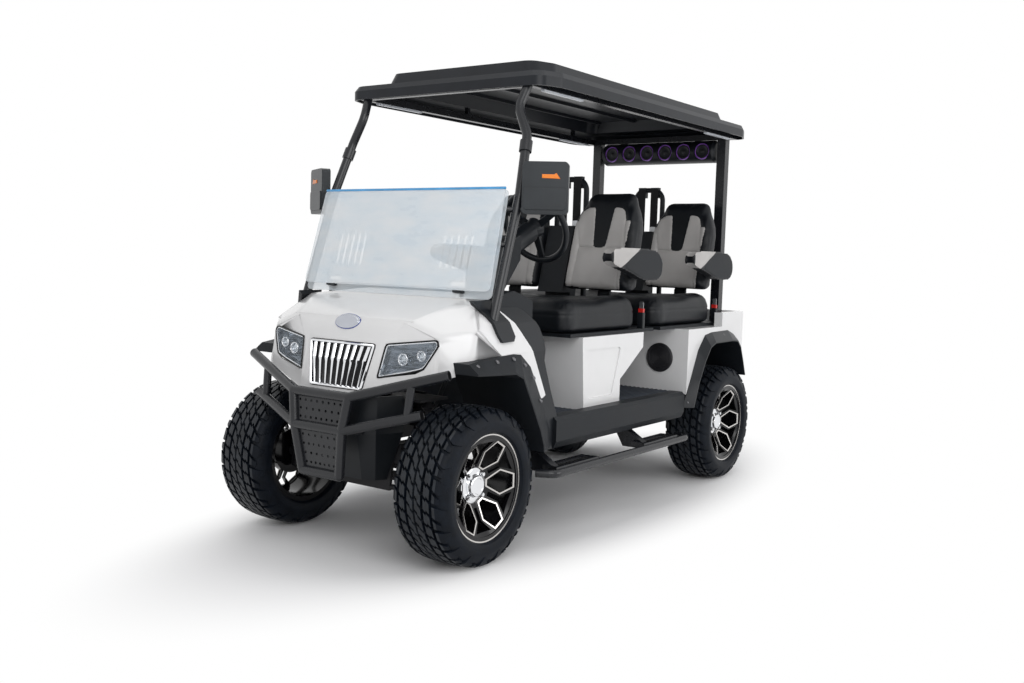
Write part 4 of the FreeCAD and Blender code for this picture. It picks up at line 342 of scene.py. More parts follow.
def facing(place, direction):
    """Places a mesh that faces X so that it faces a direction."""
    return Matrix.Translation(place) @ Vector(direction).to_track_quat("X", "Z").to_matrix().to_4x4()


def linked(name, mesh):
    obj = bpy.data.objects.new(name, mesh)
    bpy.context.scene.collection.objects.link(obj)
    return obj


def placed(name, data, place, body="cart", replaces=None):
    """A new object from shared mesh data at a place, riding on a body."""
    obj = linked(name, data)
    obj.matrix_world = place
    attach(obj, body)
    if replaces:
        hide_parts(replaces)
    return obj


def baked(name, mesh, place, body="cart", replaces=None):
    """A new object whose own copy of a mesh holds the place, which may mirror it."""
    data = mesh.copy()
    data.transform(place)
    if place.is_negative:
        data.flip_normals()
    return placed(name, data, Matrix(), body, replaces)


def corners(places):
    """Name, place and side's sign for both sides of each axle or row."""
    return [(f"{name}_{side}", place, sign) for name, place in places.items() for side, sign in SIDES.items()]


def flip(sign):
    """Mirrors across the cart's middle for the right side."""
    return Matrix.Diagonal((sign, 1, 1, 1))


# ---- Tyres and wheels, in mm about the wheel's middle ----

TREAD_RADIUS = 302
TREAD_PITCHES = 19
# Faces nearer the middle plane and further out than these, in metres, get the lighter tread colour: painted light on
# the tread's outer faces, while the grooves and sidewalls keep the darker rubber as painted shade
TREAD_EDGE = 0.118
TREAD_FLOOR = 0.2945
# The tyre's outer surface from the crown outwards, as (distance along it, sideways, radius, groove depth)
TYRE_SURFACE = [
    (0, 0, 302, 12), (50, 50, 300.6, 12), (88, 88, 297.5, 11.5), (101, 100.5, 293, 10), (110, 107.5, 286, 8),
    (120, 112.5, 277, 5), (132, 117, 265, 3.5), (146, 120.6, 251, 1.5), (156, 121.6, 241, 0), (172, 120, 225, 0),
    (180, 117, 218, -2.5), (186, 114, 212, -2.5), (190, 110, 208, 0), (204, 98, 200, 0), (212, 91, 193, 0),
]
TYRE_RUNS = [0, 25, 50, 70, 88, 101, 110, 120, 132, 146, 156, 164, 172, 180, 186, 190, 197, 204, 212]
TYRE_TURNS = 112
# Tread blocks of one pitch and one half, as stations of (distance from the crown, start and end in pitches)
TREAD_BLOCKS = [
    [(3, 0.00, 0.40), (16, 0.12, 0.52), (17, 0.20, 0.60), (33, 0.36, 0.76)],
    [(3, 0.50, 0.90), (16, 0.62, 1.02), (17, 0.70, 1.10), (33, 0.86, 1.26)],
    [(42, 0.44, 0.84), (55, 0.56, 0.96), (56, 0.47, 0.87), (71, 0.61, 1.01)],
    [(42, 0.94, 1.34), (55, 1.06, 1.46), (56, 0.97, 1.37), (71, 1.11, 1.51)],
    [(80, 0.70, 1.10), (92, 0.72, 1.20), (105, 0.76, 1.28), (113, 0.80, 1.28), (123, 0.84, 1.22), (142, 0.92, 1.10)],
    [(80, 1.22, 1.58), (92, 1.32, 1.60), (105, 1.40, 1.64), (112, 1.42, 1.62)],
]
BLOCK_DRAFT = 1.6
BLOCK_ROOT = 1
NORMAL_REACH = 3

SPOKE_CELLS = 6
CELL_OUTLINE = [(0.38, 12), (0.71, 22.5), (0.985, 8.8)]
BARREL_RADIUS = 184
DISC_FACE = ((58, 34), (187, 98))
LINE_WIDTH = 5.5
LINE_RAISE = 1.6
LINE_ROOT = 2
LIP_PROFILE = [(100, 197), (103.5, 198), (104, 203), (101, 205), (97, 205), (97, 197)]
HUB_PROFILE = [(20, 71), (34, 71), (38, 68), (40, 63), (41, 52), (42, 44), (45, 41.5), (56, 40.6), (59, 38.5),
               (60.5, 34), (60.5, 30), (59, 28.5), (59, 0.01)]
NUT_CIRCLE = 55
# Nuts and the dark pockets around them, as (sideways place, inner radius, outer radius, depth, sides)
NUT = (47, 9.5, 8, 16, 6)
NUT_POCKET = (40, 12, 11.5, 3.4, 20)


def in_metres(pairs):
    return [(a * MM, b * MM) for a, b in pairs]


def surface_at(run):
    """Sideways place, radius and groove depth of the tyre's surface at a distance from the crown."""
    for low, high in zip(TYRE_SURFACE, TYRE_SURFACE[1:]):
        if run <= high[0]:
            share = (run - low[0]) / (high[0] - low[0])
            return [a + (b - a) * share for a, b in zip(low[1:], high[1:])]
    return list(TYRE_SURFACE[-1][1:])


def surface_normal(run):
    """Outward direction (sideways, radial) of the tyre's surface."""
    before, after = surface_at(max(run - NORMAL_REACH, 0)), surface_at(run + NORMAL_REACH)
    along = Vector((after[0] - before[0], after[1] - before[1])).normalized()
    return Vector((-along.y, along.x))


def tyre_point(run, turn, depth):
    """Point in metres on the tyre at a distance from the crown and an angle, sunk by a depth."""
    side = -1 if run < 0 else 1
    x, radius, _ = surface_at(abs(run))
    normal = surface_normal(abs(run))
    x, radius = x - normal.x * depth, radius - normal.y * depth
    return Vector((side * x * MM, radius * MM * math.cos(turn), radius * MM * math.sin(turn)))


def add_block(bm, stations, side, start_turn, pitch):
    """One tread block: a strip of stations raised from the groove floor, its walls slightly drafted."""
    step = side * BLOCK_DRAFT / TREAD_RADIUS
    rows = []
    last = len(stations) - 1
    for index, (run, low, high) in enumerate(stations):
        inset = BLOCK_DRAFT if index == 0 else -BLOCK_DRAFT if index == last else 0
        depth = surface_at(run)[2] + BLOCK_ROOT
        low_turn = start_turn + side * low * pitch
        high_turn = start_turn + side * high * pitch
        rows.append([bm.verts.new(point) for point in (
            tyre_point(side * run, low_turn, depth), tyre_point(side * (run + inset), low_turn + step, 0),
            tyre_point(side * (run + inset), high_turn - step, 0), tyre_point(side * run, high_turn, depth))])
    for before, after in zip(rows, rows[1:]):
        for corner in range(3):
            bm.faces.new((before[corner], after[corner], after[corner + 1], before[corner + 1]))
    bm.faces.new(rows[0])
    bm.faces.new(rows[-1][::-1])


def tyre_mesh():
    half = []
    for run in TYRE_RUNS:
        x, radius, depth = surface_at(run)
        normal = surface_normal(run)
        half.append((x - normal.x * depth, radius - normal.y * depth))
    bm = bmesh.new()
    lathe(bm, in_metres([(-x, radius) for x, radius in reversed(half[1:])] + half), TYRE_TURNS)
    pitch = math.tau / TREAD_PITCHES
    for index in range(TREAD_PITCHES):
        for side, offset in ((1, 0), (-1, 0.5)):
            for stations in TREAD_BLOCKS:
                add_block(bm, stations, side, (index + offset) * pitch, pitch)
    data = mesh_of(bm, tyre_rubber)
    # The tread's outer faces get the lighter colour as painted light; the groove floors and sidewalls stay darker as
    # painted shade
    data.materials.append(tread_painted_light)
    for face in data.polygons:
        if abs(face.center.x) < TREAD_EDGE and math.hypot(face.center.y, face.center.z) > TREAD_FLOOR:
            face.material_index = 1
    return data


def disc_loop(outline, raised):
    """Outline of (y, z) laid on the wheel disc's outer face, raised from it, in metres."""
    (low, x_low), (high, x_high) = DISC_FACE
    loop = []
    for y, z in outline:
        x = x_low + (x_high - x_low) * (math.hypot(y, z) - low) / (high - low)
        loop.append(((x + raised) * MM, y * MM, z * MM))
    return loop


def machined_lines_mesh():
    """The bright machined edges around the spoke cells and on the rim's lip."""
    bm = bmesh.new()
    for cell in range(SPOKE_CELLS):
        outline = []
        for share, turn in CELL_OUTLINE + [(share, -turn) for share, turn in reversed(CELL_OUTLINE)]:
            angle = math.radians(cell * 360 / SPOKE_CELLS + turn)
            outline.append((share * BARREL_RADIUS * math.cos(angle), share * BARREL_RADIUS * math.sin(angle)))
        outline.reverse()
        outer = shrunk(outline, LINE_WIDTH)
        skin(bm, [disc_loop(outer, -LINE_ROOT), disc_loop(outer, LINE_RAISE), disc_loop(outline, LINE_RAISE),
                  disc_loop(outline, -LINE_ROOT)])
    lathe(bm, in_metres(LIP_PROFILE), 96, closed=True)
    return mesh_of(bm, machined)


def add_nut_forms(bm, x, inner, outer, depth, sides):
    """A short cone at each of the four wheel nuts."""
    for nut in range(4):
        angle = math.radians(45 + 90 * nut)
        place = Matrix.Translation(Vector((x, NUT_CIRCLE * math.cos(angle), NUT_CIRCLE * math.sin(angle))) * MM)
        bmesh.ops.create_cone(bm, cap_ends=True, segments=sides, radius1=inner * MM, radius2=outer * MM,
                              depth=depth * MM, matrix=place @ Matrix.Rotation(math.pi / 2, 4, "Y"))


def hub_mesh():
    bm = bmesh.new()
    lathe(bm, in_metres(HUB_PROFILE), 48)
    add_nut_forms(bm, *NUT)
    return mesh_of(bm, chrome)


def pocket_mesh():
    bm = bmesh.new()
    add_nut_forms(bm, *NUT_POCKET)
    return mesh_of(bm, rim_black)


def add_wheels():
    kinds = (("tread", tyre_mesh(), "tyre_rubber"), ("wheel_lines", machined_lines_mesh(), "rim_alloy"),
             ("hub_cap", hub_mesh(), "rim_alloy"), ("nut_pockets", pocket_mesh(), "rim_alloy"))
    for corner, y, sign in corners(AXLES):
        turn = Matrix.Rotation(0 if sign > 0 else math.pi, 4, "Z")
        place = Matrix.Translation((sign * WHEEL_X, y, AXLE_HEIGHT)) @ turn
        for kind, data, slot in kinds:
            placed(f"{kind}_{corner}", data, place, f"wheel_{corner}",
                   f"tyre_{corner}" if kind == "tread" else None)


# ---- Padded seats ----

PRESSURE = 4.0
STIFFNESS = 25
SETTLE_FRAMES = 20
# Remesh step and the furthest that the cover may swell, in metres
BENCH_COVER = (0.0122, 0.012)
BACK_COVER = (0.0070, 0.008)
ARM_COVER = (0.0072, 0.003)


def evaluated_mesh(obj):
    depsgraph = bpy.context.evaluated_depsgraph_get()
    return bpy.data.meshes.new_from_object(obj.evaluated_get(depsgraph))


def settle_frames(obj, cap):
    """Short pressure-cloth run; no point moves further than the cap."""
    start = [vertex.co.copy() for vertex in obj.data.vertices]
    cloth = obj.modifiers.new("cloth", "CLOTH")
    cloth.settings.use_pressure = True
    cloth.settings.uniform_pressure_force = PRESSURE
    cloth.settings.effector_weights.gravity = 0
    cloth.settings.tension_stiffness = STIFFNESS
    cloth.settings.compression_stiffness = STIFFNESS
    cloth.point_cache.frame_start = 1
    cloth.point_cache.frame_end = SETTLE_FRAMES
    scene = bpy.context.scene
    for step in range(1, SETTLE_FRAMES + 1):
        scene.frame_set(step)
    swollen = evaluated_mesh(obj)
    for vertex, origin, moved in zip(obj.data.vertices, start, swollen.vertices):
        shift = moved.co - origin
        if shift.length > cap:
            shift *= cap / shift.length
        vertex.co = origin + shift
    obj.modifiers.remove(cloth)
    bpy.data.meshes.remove(swollen)
    scene.frame_set(1)


def padded_mesh(bm, voxel, cap, shape=None):
    """Remeshes a closed form, swells it as a padded cover, subdivides it once and presses its seams in."""
    mesh = bpy.data.meshes.new("cover")
    bm.to_mesh(mesh)
    bm.free()
    obj = linked("cover", mesh)
    remesh = obj.modifiers.new("remesh", "REMESH")
    remesh.mode = "VOXEL"
    remesh.voxel_size = voxel
    obj.data = evaluated_mesh(obj)
    obj.modifiers.clear()
    settle_frames(obj, cap)
    obj.modifiers.new("smooth", "SUBSURF").levels = 1
    obj.data = evaluated_mesh(obj)
    obj.modifiers.clear()
    data = obj.data
    bpy.data.objects.remove(obj)
    if shape:
        for vertex in data.vertices:
            vertex.co = shape(vertex.co)
    data.materials.clear()
    data.materials.append(vinyl_black)
    data.shade_smooth()
    return data


def seam_at(value, place, depth, width):
    """Depth of a pressed-in seam at a value across it."""
    return depth * math.exp(-((value - place) / width) ** 2)


def distance_to_path(point, path):
    """Distance from a flat point to an open path of flat points."""
    best = math.inf
    for (ax, ay), (bx, by) in zip(path, path[1:]):
        run_x, run_y = bx - ax, by - ay
        share = ((point[0] - ax) * run_x + (point[1] - ay) * run_y) / (run_x * run_x + run_y * run_y)
        share = min(max(share, 0), 1)
        best = min(best, math.hypot(point[0] - ax - run_x * share, point[1] - ay - run_y * share))
    return best


# The bench about its own middle, its rings as (height, inset), in metres
BENCH_MIDDLE = -0.241
BENCH_HALF = (0.484, 0.323)
BENCH_CORNER = 0.062
BENCH_RINGS = [(0.840, 0.018), (0.846, 0.006), (0.860, 0.001), (0.900, 0.0), (0.930, 0.002), (0.950, 0.010),
               (0.964, 0.024), (0.972, 0.044)]
BENCH_TOP = (0.925, 0.965)
# Straight seams as (place, depth, width)
BENCH_SIDE_SEAM = (0.915, 0.0030, 0.0035)
BENCH_TOP_SEAM = (0.425, 0.0028, 0.0032)
BENCH_CORNER_SEAM = (0, 0.002, 0.003)
BOLSTER_RISE = 0.012
DISH_DEPTH = 0.006
FRONT_FALL = 0.010
# Reaches over which each form of the bench comes in
BOLSTER_INNER, BOLSTER_OUTER, BOLSTER_FRONT = (0.33, 0.43), (0.452, 0.49), (-0.06, 0.10)
DISH_REACH = (0.05, 0.34)
FALL_REACH = (0.20, 0.32)
CORNER_REACH = (0.40, 0.43)
SIDE_SEAM_REACH = (0.85, 0.87)
# The corner seam's line, as a point on it and its slope
CORNER_LINE = ((0.49, -0.329), 0.9)


def bench_form():
    half_x, half_y = BENCH_HALF
    return lofted([[(x, y, z) for x, y in rounded_loop(half_x - inset, half_y - inset, BENCH_CORNER)]
                   for z, inset in BENCH_RINGS])


def bench_shape(co):
    """Hip bolsters, centre dish, front fall and the sewn seams of the bench."""
    x, y, z = abs(co.x), co.y, co.z
    top = smooth(z, *BENCH_TOP)
    bolster = BOLSTER_RISE * smooth(x, *BOLSTER_INNER) * (1 - smooth(x, *BOLSTER_OUTER)) * smooth(y, *BOLSTER_FRONT)
    dish = DISH_DEPTH * (1 - smooth(x, *DISH_REACH))
    front_fall = FRONT_FALL * smooth(-y, *FALL_REACH)
    top_seam = seam_at(x, *BENCH_TOP_SEAM)
    (corner_x, corner_y), slope = CORNER_LINE
    corner_seam = seam_at((corner_x - x) - (y - corner_y) * slope, *BENCH_CORNER_SEAM) * smooth(x, *CORNER_REACH)
    side_seam = seam_at(z, *BENCH_SIDE_SEAM) * (1 - top) * smooth(z, *SIDE_SEAM_REACH)
    outward = Vector((co.x, co.y * 1.5, 0)).normalized()
    lift = (bolster - dish - front_fall - top_seam - corner_seam) * top
    return Vector((co.x, co.y, z + lift)) - outward * side_seam


# The seatback in its own place: sideways u (towards the armrest), height v, depth w behind its leaning front
SEATBACK_FOOT = 1.004
SEATBACK_RISE = 0.482
SEATBACK_LEAN = 0.132
SEATBACK_MIDDLE = 0.268
BACK_HALF = 0.190
BACK_DEPTH = 0.096
BACK_TAPER = 0.028
BACK_END = 0.020
BACK_RINGS = [(0.000, 0.020), (0.006, 0.008), (0.020, 0.001), (0.060, 0.0), (0.150, 0.0), (0.240, 0.0), (0.300, 0.002),
              (0.345, 0.010), (0.385, 0.026), (0.420, 0.044), (0.450, 0.056), (0.468, 0.066), (0.478, 0.080),
              (0.482, 0.096)]
BACK_SEAMS = [
    [(-0.155, 0.338), (-0.126, 0.215), (-0.134, 0.010)], [(0.108, 0.345), (0.126, 0.215), (0.118, 0.010)],
    [(-0.126, 0.212), (-0.048, 0.212)], [(0.026, 0.212), (0.126, 0.212)],
]
BACK_SEAM = (0, 0.005, 0.006)
PANEL_SEAM = (0, 0.0022, 0.0022)
HEADER_SEAM = (0.349, 0.0025, 0.003)
BACK_BOLSTER = 0.014
BACK_HOLLOW = 0.006
BACK_FRONT = (0.02, 0.06)
BACK_MIDDLE = -0.008
# Reaches over which each form of the seatback comes in
BACK_BOLSTER_INNER, BACK_BOLSTER_TOP, BACK_BOLSTER_FOOT = (0.10, 0.155), (0.36, 0.46), (0.0, 0.06)
LUMBAR_REACH = (0.09, 0.14)
HEADER_REACH = (0.165, 0.18)
LUMBAR_SWELL = (0.12, 0.008, 0.09)
GREY_PANEL = [
    (-0.172, 0.016), (-0.06, 0.010), (0.06, 0.009), (0.134, 0.012), (0.141, 0.03), (0.140, 0.12), (0.138, 0.200),
    (0.142, 0.275), (0.147, 0.338), (0.143, 0.345), (0.112, 0.343), (0.110, 0.365), (0.101, 0.388), (0.084, 0.402),
    (0.060, 0.408), (0.036, 0.409), (0.030, 0.340), (0.021, 0.240), (0.018, 0.222), (0.008, 0.215), (-0.012, 0.213),
    (-0.032, 0.215), (-0.042, 0.222), (-0.046, 0.240), (-0.058, 0.340), (-0.068, 0.409), (-0.100, 0.407),
    (-0.124, 0.400), (-0.141, 0.386), (-0.150, 0.366), (-0.156, 0.341), (-0.172, 0.346), (-0.172, 0.338),
    (-0.172, 0.24), (-0.172, 0.12), (-0.172, 0.03),
]
PANEL_RAISE = 0.0028
PANEL_STEP = 0.0075
PANEL_HEM = 0.005
HEM_DIP = 0.6


def back_form():
    loops = []
    for v, inset in BACK_RINGS:
        end_round = max(BACK_END - v, v - (SEATBACK_RISE - BACK_END), 0) * 0.9
        half_w = (BACK_DEPTH - BACK_TAPER * v / SEATBACK_RISE) / 2 - end_round
        outline = rounded_loop(BACK_HALF - inset, half_w, min(0.030, half_w * 0.8))
        loops.append([(u, w + half_w + end_round + 0.004, v) for u, w in outline])
    return lofted(loops)


def back_shape(co):
    """Side bolsters, lumbar swell and seams of the seatback's front."""
    u, w, v = co
    front = 1 - smooth(w, *BACK_FRONT)
    upright = 1 - smooth(v, *BACK_BOLSTER_TOP)
    bolster = BACK_BOLSTER * smooth(abs(u - BACK_MIDDLE), *BACK_BOLSTER_INNER) * upright * smooth(v, *BACK_BOLSTER_FOOT)
    lumbar = seam_at(v, *LUMBAR_SWELL) * (1 - smooth(abs(u), *LUMBAR_REACH))
    crease = max(seam_at(distance_to_path((u, v), path), *BACK_SEAM) for path in BACK_SEAMS)
    header = seam_at(v, *HEADER_SEAM) * smooth(abs(u), *HEADER_REACH)
    shift = (crease + BACK_HOLLOW - bolster - lumbar) * front
    return Vector((u - math.copysign(header, u), w + shift, v))


def grey_panel_mesh(back):
    """The seatback's grey cover panel, laid on its front; the panel's edge dips into the seam around it."""
    surface = BVHTree.FromPolygons([vertex.co for vertex in back.vertices], [face.vertices for face in back.polygons])
    edge = finer(GREY_PANEL, PANEL_STEP)
    closed = edge + edge[:1]
    points = [Vector(point) for point in edge]
    (low_u, high_u), (low_v, high_v) = [(min(values), max(values)) for values in zip(*edge)]
    for column in range(1, int((high_u - low_u) / PANEL_STEP)):
        for row in range(1, int((high_v - low_v) / PANEL_STEP)):
            spot = (low_u + (column + (row % 2) / 2) * PANEL_STEP, low_v + row * PANEL_STEP)
            if distance_to_path(spot, closed) > PANEL_STEP * 0.6:
                points.append(Vector(spot))
    rim = list(range(len(edge)))
    flat, _, faces, *_ = delaunay_2d_cdt(points, list(zip(rim, rim[1:] + rim[:1])), [rim], 1, 1e-6)
    bm = bmesh.new()
    verts = []
    for spot in flat:
        start = Vector((spot.x, -0.2, spot.y))
        hit, normal, _, _ = surface.ray_cast(start, Vector((0, 1, 0)))
        if hit is None:
            hit, normal, _, _ = surface.find_nearest(start)
        inner = smooth(distance_to_path(spot, closed), 0, PANEL_HEM)
        crease = max(seam_at(distance_to_path(spot, path), *PANEL_SEAM) for path in BACK_SEAMS)
        verts.append(bm.verts.new(hit + normal * (PANEL_RAISE * (inner * (1 + HEM_DIP) - HEM_DIP) - crease)))
    for face in faces:
        bm.faces.new([verts[index] for index in face])
    return mesh_of(bm, vinyl_grey, math.radians(60))


def add_seats():
    bench = padded_mesh(bench_form(), *BENCH_COVER, bench_shape)
    back = padded_mesh(back_form(), *BACK_COVER, back_shape)
    panel = grey_panel_mesh(back)
    shear = Matrix.Identity(4)
    shear[1][2] = SEATBACK_LEAN / SEATBACK_RISE
    for row, foot in ROWS.items():
        cushion = placed(f"{row}_bench", bench, Matrix.Translation((0, foot + BENCH_MIDDLE, 0)), "cart",
                         f"{row}_cushion")
        for side, sign in SIDES.items():
            place = Matrix.Translation((sign * SEATBACK_MIDDLE, foot, SEATBACK_FOOT)) @ shear @ flip(sign)
            seatback = baked(f"{row}_seatback_{side}", back, place, "cart", f"{row}_seatbacks")
            baked(f"{row}_seatback_panel_{side}", panel, place, "cart")


# Armrests: side outlines as (distance behind the seatback's foot, height), sections as (sideways place, inset)
ARM_INNER_X = 0.468
ARM_OUTLINE = [(-0.270, 1.146), (-0.266, 1.190), (-0.234, 1.208), (0.096, 1.208), (0.172, 1.190), (0.204, 1.146),
               (0.198, 1.092), (0.150, 1.070), (0.020, 1.070), (-0.090, 1.106)]
ARM_SECTION = [(0.003, 0.012), (0.006, 0.006), (0.014, 0.002), (0.048, 0.002), (0.055, 0.006), (0.058, 0.012)]
CAP_OUTLINE = [(-0.030, 1.2035), (0.094, 1.2035), (0.166, 1.186), (0.198, 1.144), (0.192, 1.096), (0.148, 1.0755),
               (0.022, 1.0755), (-0.086, 1.110), (-0.170, 1.134)]
CAP_SECTION = [(0.054, 0), (0.0585, 0), (0.0615, 0.003)]
CAP_TOP = (-0.035, 1.2035)
CAP_SLOPE = 2.0
ARM_NOSE = -0.262


def side_loft(outline, section):
    return lofted([[(x, y, z) for y, z in reversed(shrunk(outline, inset))] for x, inset in section])


def add_armrests():
    """Padded arms, grey ahead of the slanted cap on their outer side."""
    arm = padded_mesh(side_loft(rounded(ARM_OUTLINE, 3), ARM_SECTION), *ARM_COVER)
    arm.materials.append(vinyl_grey)
    for face in arm.polygons:
        _, run, z = face.center
        if ARM_NOSE < run < CAP_TOP[0] - (CAP_TOP[1] - z) * CAP_SLOPE:
            face.material_index = 1
    cap = mesh_of(side_loft(rounded(CAP_OUTLINE, 2), CAP_SECTION), grained_plastic)
    for corner, foot, sign in corners(ROWS):
        place = flip(sign) @ Matrix.Translation((ARM_INNER_X, foot, 0))
        armrest = f"armrest_{corner}"
        pad = baked(f"armrest_pad_{corner}", arm, place, armrest, armrest)
        baked(f"armrest_cap_{corner}", cap, place, armrest)


# ---- Front cowl with softened creases ----

CREASE_WIDTH = 0.020
CREASE_ANGLE = math.radians(12)
CREASE_LIMIT_Y = -0.90
WELD_REACH = 0.00005
FLAT_ANGLE = math.radians(1)
THIN_FACE = 0.0085


def thin(face):
    return face.calc_area() < THIN_FACE * face.calc_perimeter() / 2


def add_cowl():
    """The CAD cowl with the long creases of its panels rounded."""
    source = nodes["front_cowl"]
    bm = bmesh.new()
    bm.from_mesh(source.data)
    bm.transform(source.matrix_world)
    bmesh.ops.remove_doubles(bm, verts=bm.verts, dist=WELD_REACH)
    bmesh.ops.dissolve_limit(bm, angle_limit=FLAT_ANGLE, verts=bm.verts, edges=bm.edges)
    creases = [edge for edge in bm.edges
               if len(edge.link_faces) == 2 and edge.calc_face_angle(0) > CREASE_ANGLE
               and edge.calc_length() > 4 * CREASE_WIDTH and max(vert.co.y for vert in edge.verts) < CREASE_LIMIT_Y
               and not any(thin(face) for face in edge.link_faces)]
    bmesh.ops.bevel(bm, geom=creases, offset=CREASE_WIDTH, offset_type="OFFSET", segments=3, profile=0.5,
                    affect="EDGES", clamp_overlap=False)
    bmesh.ops.triangulate(bm, faces=bm.faces)
    placed("front_cowl_panel", mesh_of(bm, white_paint, math.radians(35)), Matrix(), "cart",
           "front_cowl")


# ---- Nose: grille, headlamps and badge ----

NOSE_Y = -1.321
NOSE_FOOT_Z = 0.622
NOSE_RAKE = 0.21
NOSE_HALF = 0.190
NOSE_SWEEP = 0.2
# Outlines as (x, z) on the nose; sections as (inset, distance ahead of the nose)
GRILLE_OUTLINE = [(-0.137, 0.643), (0.137, 0.643), (0.172, 0.816), (-0.172, 0.816)]
GRILLE_FRAME = [(0, -0.012), (-0.0005, 0.004), (0.002, 0.008), (0.0065, 0.008), (0.009, 0.004), (0.009, -0.012)]
GRILLE_BACK = [(0, -0.020), (0, -0.014), (0.002, -0.012)]
GRILLE_RIM = [(-0.004, -0.010), (-0.004, 0.001), (-0.001, 0.003), (0.001, 0.003), (0.001, -0.010)]
GRILLE_CORNER = 0.010
GRILLE_BACK_INSET = 0.006
GRILLE_BARS = 9
# The bars' spread at the foot, and how it grows with height
GRILLE_SPREAD = 0.130
GRILLE_FAN = 0.203
GRILLE_BAR_ROOT = 0.012
# A bar's shoulder as a share of its proud distance, and its flat face as a share of its half width
BAR_SHOULDER = 0.55
BAR_FACE = 0.45
# Stations of one grille bar, as (height, half width, distance proud of the nose)
GRILLE_BAR = [(0.651, 0.0030, 0.003), (0.738, 0.0042, 0.010), (0.752, 0.0078, 0.013), (0.806, 0.0095, 0.006)]
LAMP_OUTLINE = [(0.202, 0.693), (0.331, 0.7205), (0.392, 0.738), (0.440, 0.828), (0.430, 0.850), (0.219, 0.823)]
LAMP_CORNER = 0.012
LAMP_BEZEL = [(-0.001, -0.02), (-0.001, 0.003), (0.0005, 0.0045), (0.0045, 0.004), (0.0055, 0.001), (0.0055, -0.02)]
LAMP_LINE = [(0, -0.012), (0, 0.001), (0.0035, 0.0), (0.0045, -0.012)]
LAMP_BOWL = [(0.022, -0.040), (0, -0.030), (0, -0.009), (0.0045, -0.009), (0.006, -0.026), (0.024, -0.034)]
LAMP_LENS = [(0, 0.001), (0, 0.003), (0.003, 0.0055), (0.03, 0.0075)]
LINE_INSET, BOWL_INSET, LENS_INSET = 0.0055, 0.005, 0.0045
LAMP_FIN_HEIGHTS = (0.742, 0.757, 0.772, 0.787, 0.802)
LAMP_FIN_RUN = (0.226, 0.30, 0.405)
LAMP_FIN_HALF = 0.0012
LAMP_FIN_DEPTH = (0.032, 0.020)
PROJECTORS = [(0.292, 0.768, 0.0235), (0.366, 0.786, 0.0205)]
PROJECTOR_RING = [(-0.022, 1.0), (0.010, 1.02), (0.013, 0.96), (0.012, 0.84), (0.004, 0.74), (-0.022, 0.74)]
PROJECTOR_DEPTH = 0.020
EYE_HEIGHT = 0.012
EYE_STEPS = 7
EYE_SHARE = 0.8
EYE_SHIFT = (-0.004, 0, 0)
BADGE_PLACE = (0, -1.2543, 0.8935)
BADGE_SLOPE = math.radians(60)
BADGE_HALF = (0.064, 0.031)
BADGE_TURNS = 48
# Badge sections as (height, growth of both half axes)
BADGE_DISC = [(-0.004, 0), (0.003, 0), (0.0045, -0.0015), (0.0045, -0.007), (0.006, -0.009), (0.0075, -0.022)]
BADGE_RIM = [(-0.004, 0.002), (0.0015, 0.002), (0.0022, 0.001), (0.0022, -0.001)]


def nose_y(x, z):
    """The nose's front face: raked everywhere, swept beyond the grille."""
    return NOSE_Y + max(abs(x) - NOSE_HALF, 0) * NOSE_SWEEP + (z - NOSE_FOOT_Z) * NOSE_RAKE


def nose_loops(outline, section):
    return [[(x, nose_y(x, z) - forward, z) for x, z in shrunk(outline, inset)] for inset, forward in section]


def framed(outline, section, bm=None):
    """Frame along a closed outline on the nose."""
    bm = bm or bmesh.new()
    skin(bm, nose_loops(outline, section), closed=True)
    return bm


def plated(outline, section):
    """Closed plate over an outline on the nose, its section followed along the edge."""
    return lofted(nose_loops(outline, section))


def add_grille():
    outline = corners_cut(GRILLE_OUTLINE, GRILLE_CORNER)
    bm = framed(outline, GRILLE_FRAME)
    for bar in range(GRILLE_BARS):
        share = (bar + 0.5) / GRILLE_BARS * 2 - 1
        loops = []
        for z, half, proud in GRILLE_BAR:
            centre = share * (GRILLE_SPREAD + (z - GRILLE_BAR[0][0]) * GRILLE_FAN)
            y = nose_y(0, z)
            right = [(half, GRILLE_BAR_ROOT), (half, -proud * BAR_SHOULDER), (half * BAR_FACE, -proud)]
            section = [(-across, ahead) for across, ahead in right] + right[::-1]
            loops.append([(centre + across, y + ahead, z) for across, ahead in section])
        lofted(loops, bm)
    placed("grille_bars", mesh_of(bm, chrome, math.radians(20)), Matrix(), "cart", "grille")
    backing = framed(outline, GRILLE_RIM, plated(shrunk(outline, GRILLE_BACK_INSET), GRILLE_BACK))
    placed("grille_backing", mesh_of(backing, deep_black), Matrix())


def lamp_fins():
    """Thin level fins across the lamp's bowl."""
    bm = bmesh.new()
    back, front = LAMP_FIN_DEPTH
    for z in LAMP_FIN_HEIGHTS:
        low, high = z - LAMP_FIN_HALF, z + LAMP_FIN_HALF
        lofted([[(x, nose_y(x, z) + depth, height)
                 for depth, height in ((back, low), (front, low), (front, high), (back, high))]
                for x in LAMP_FIN_RUN], bm)
    return bm


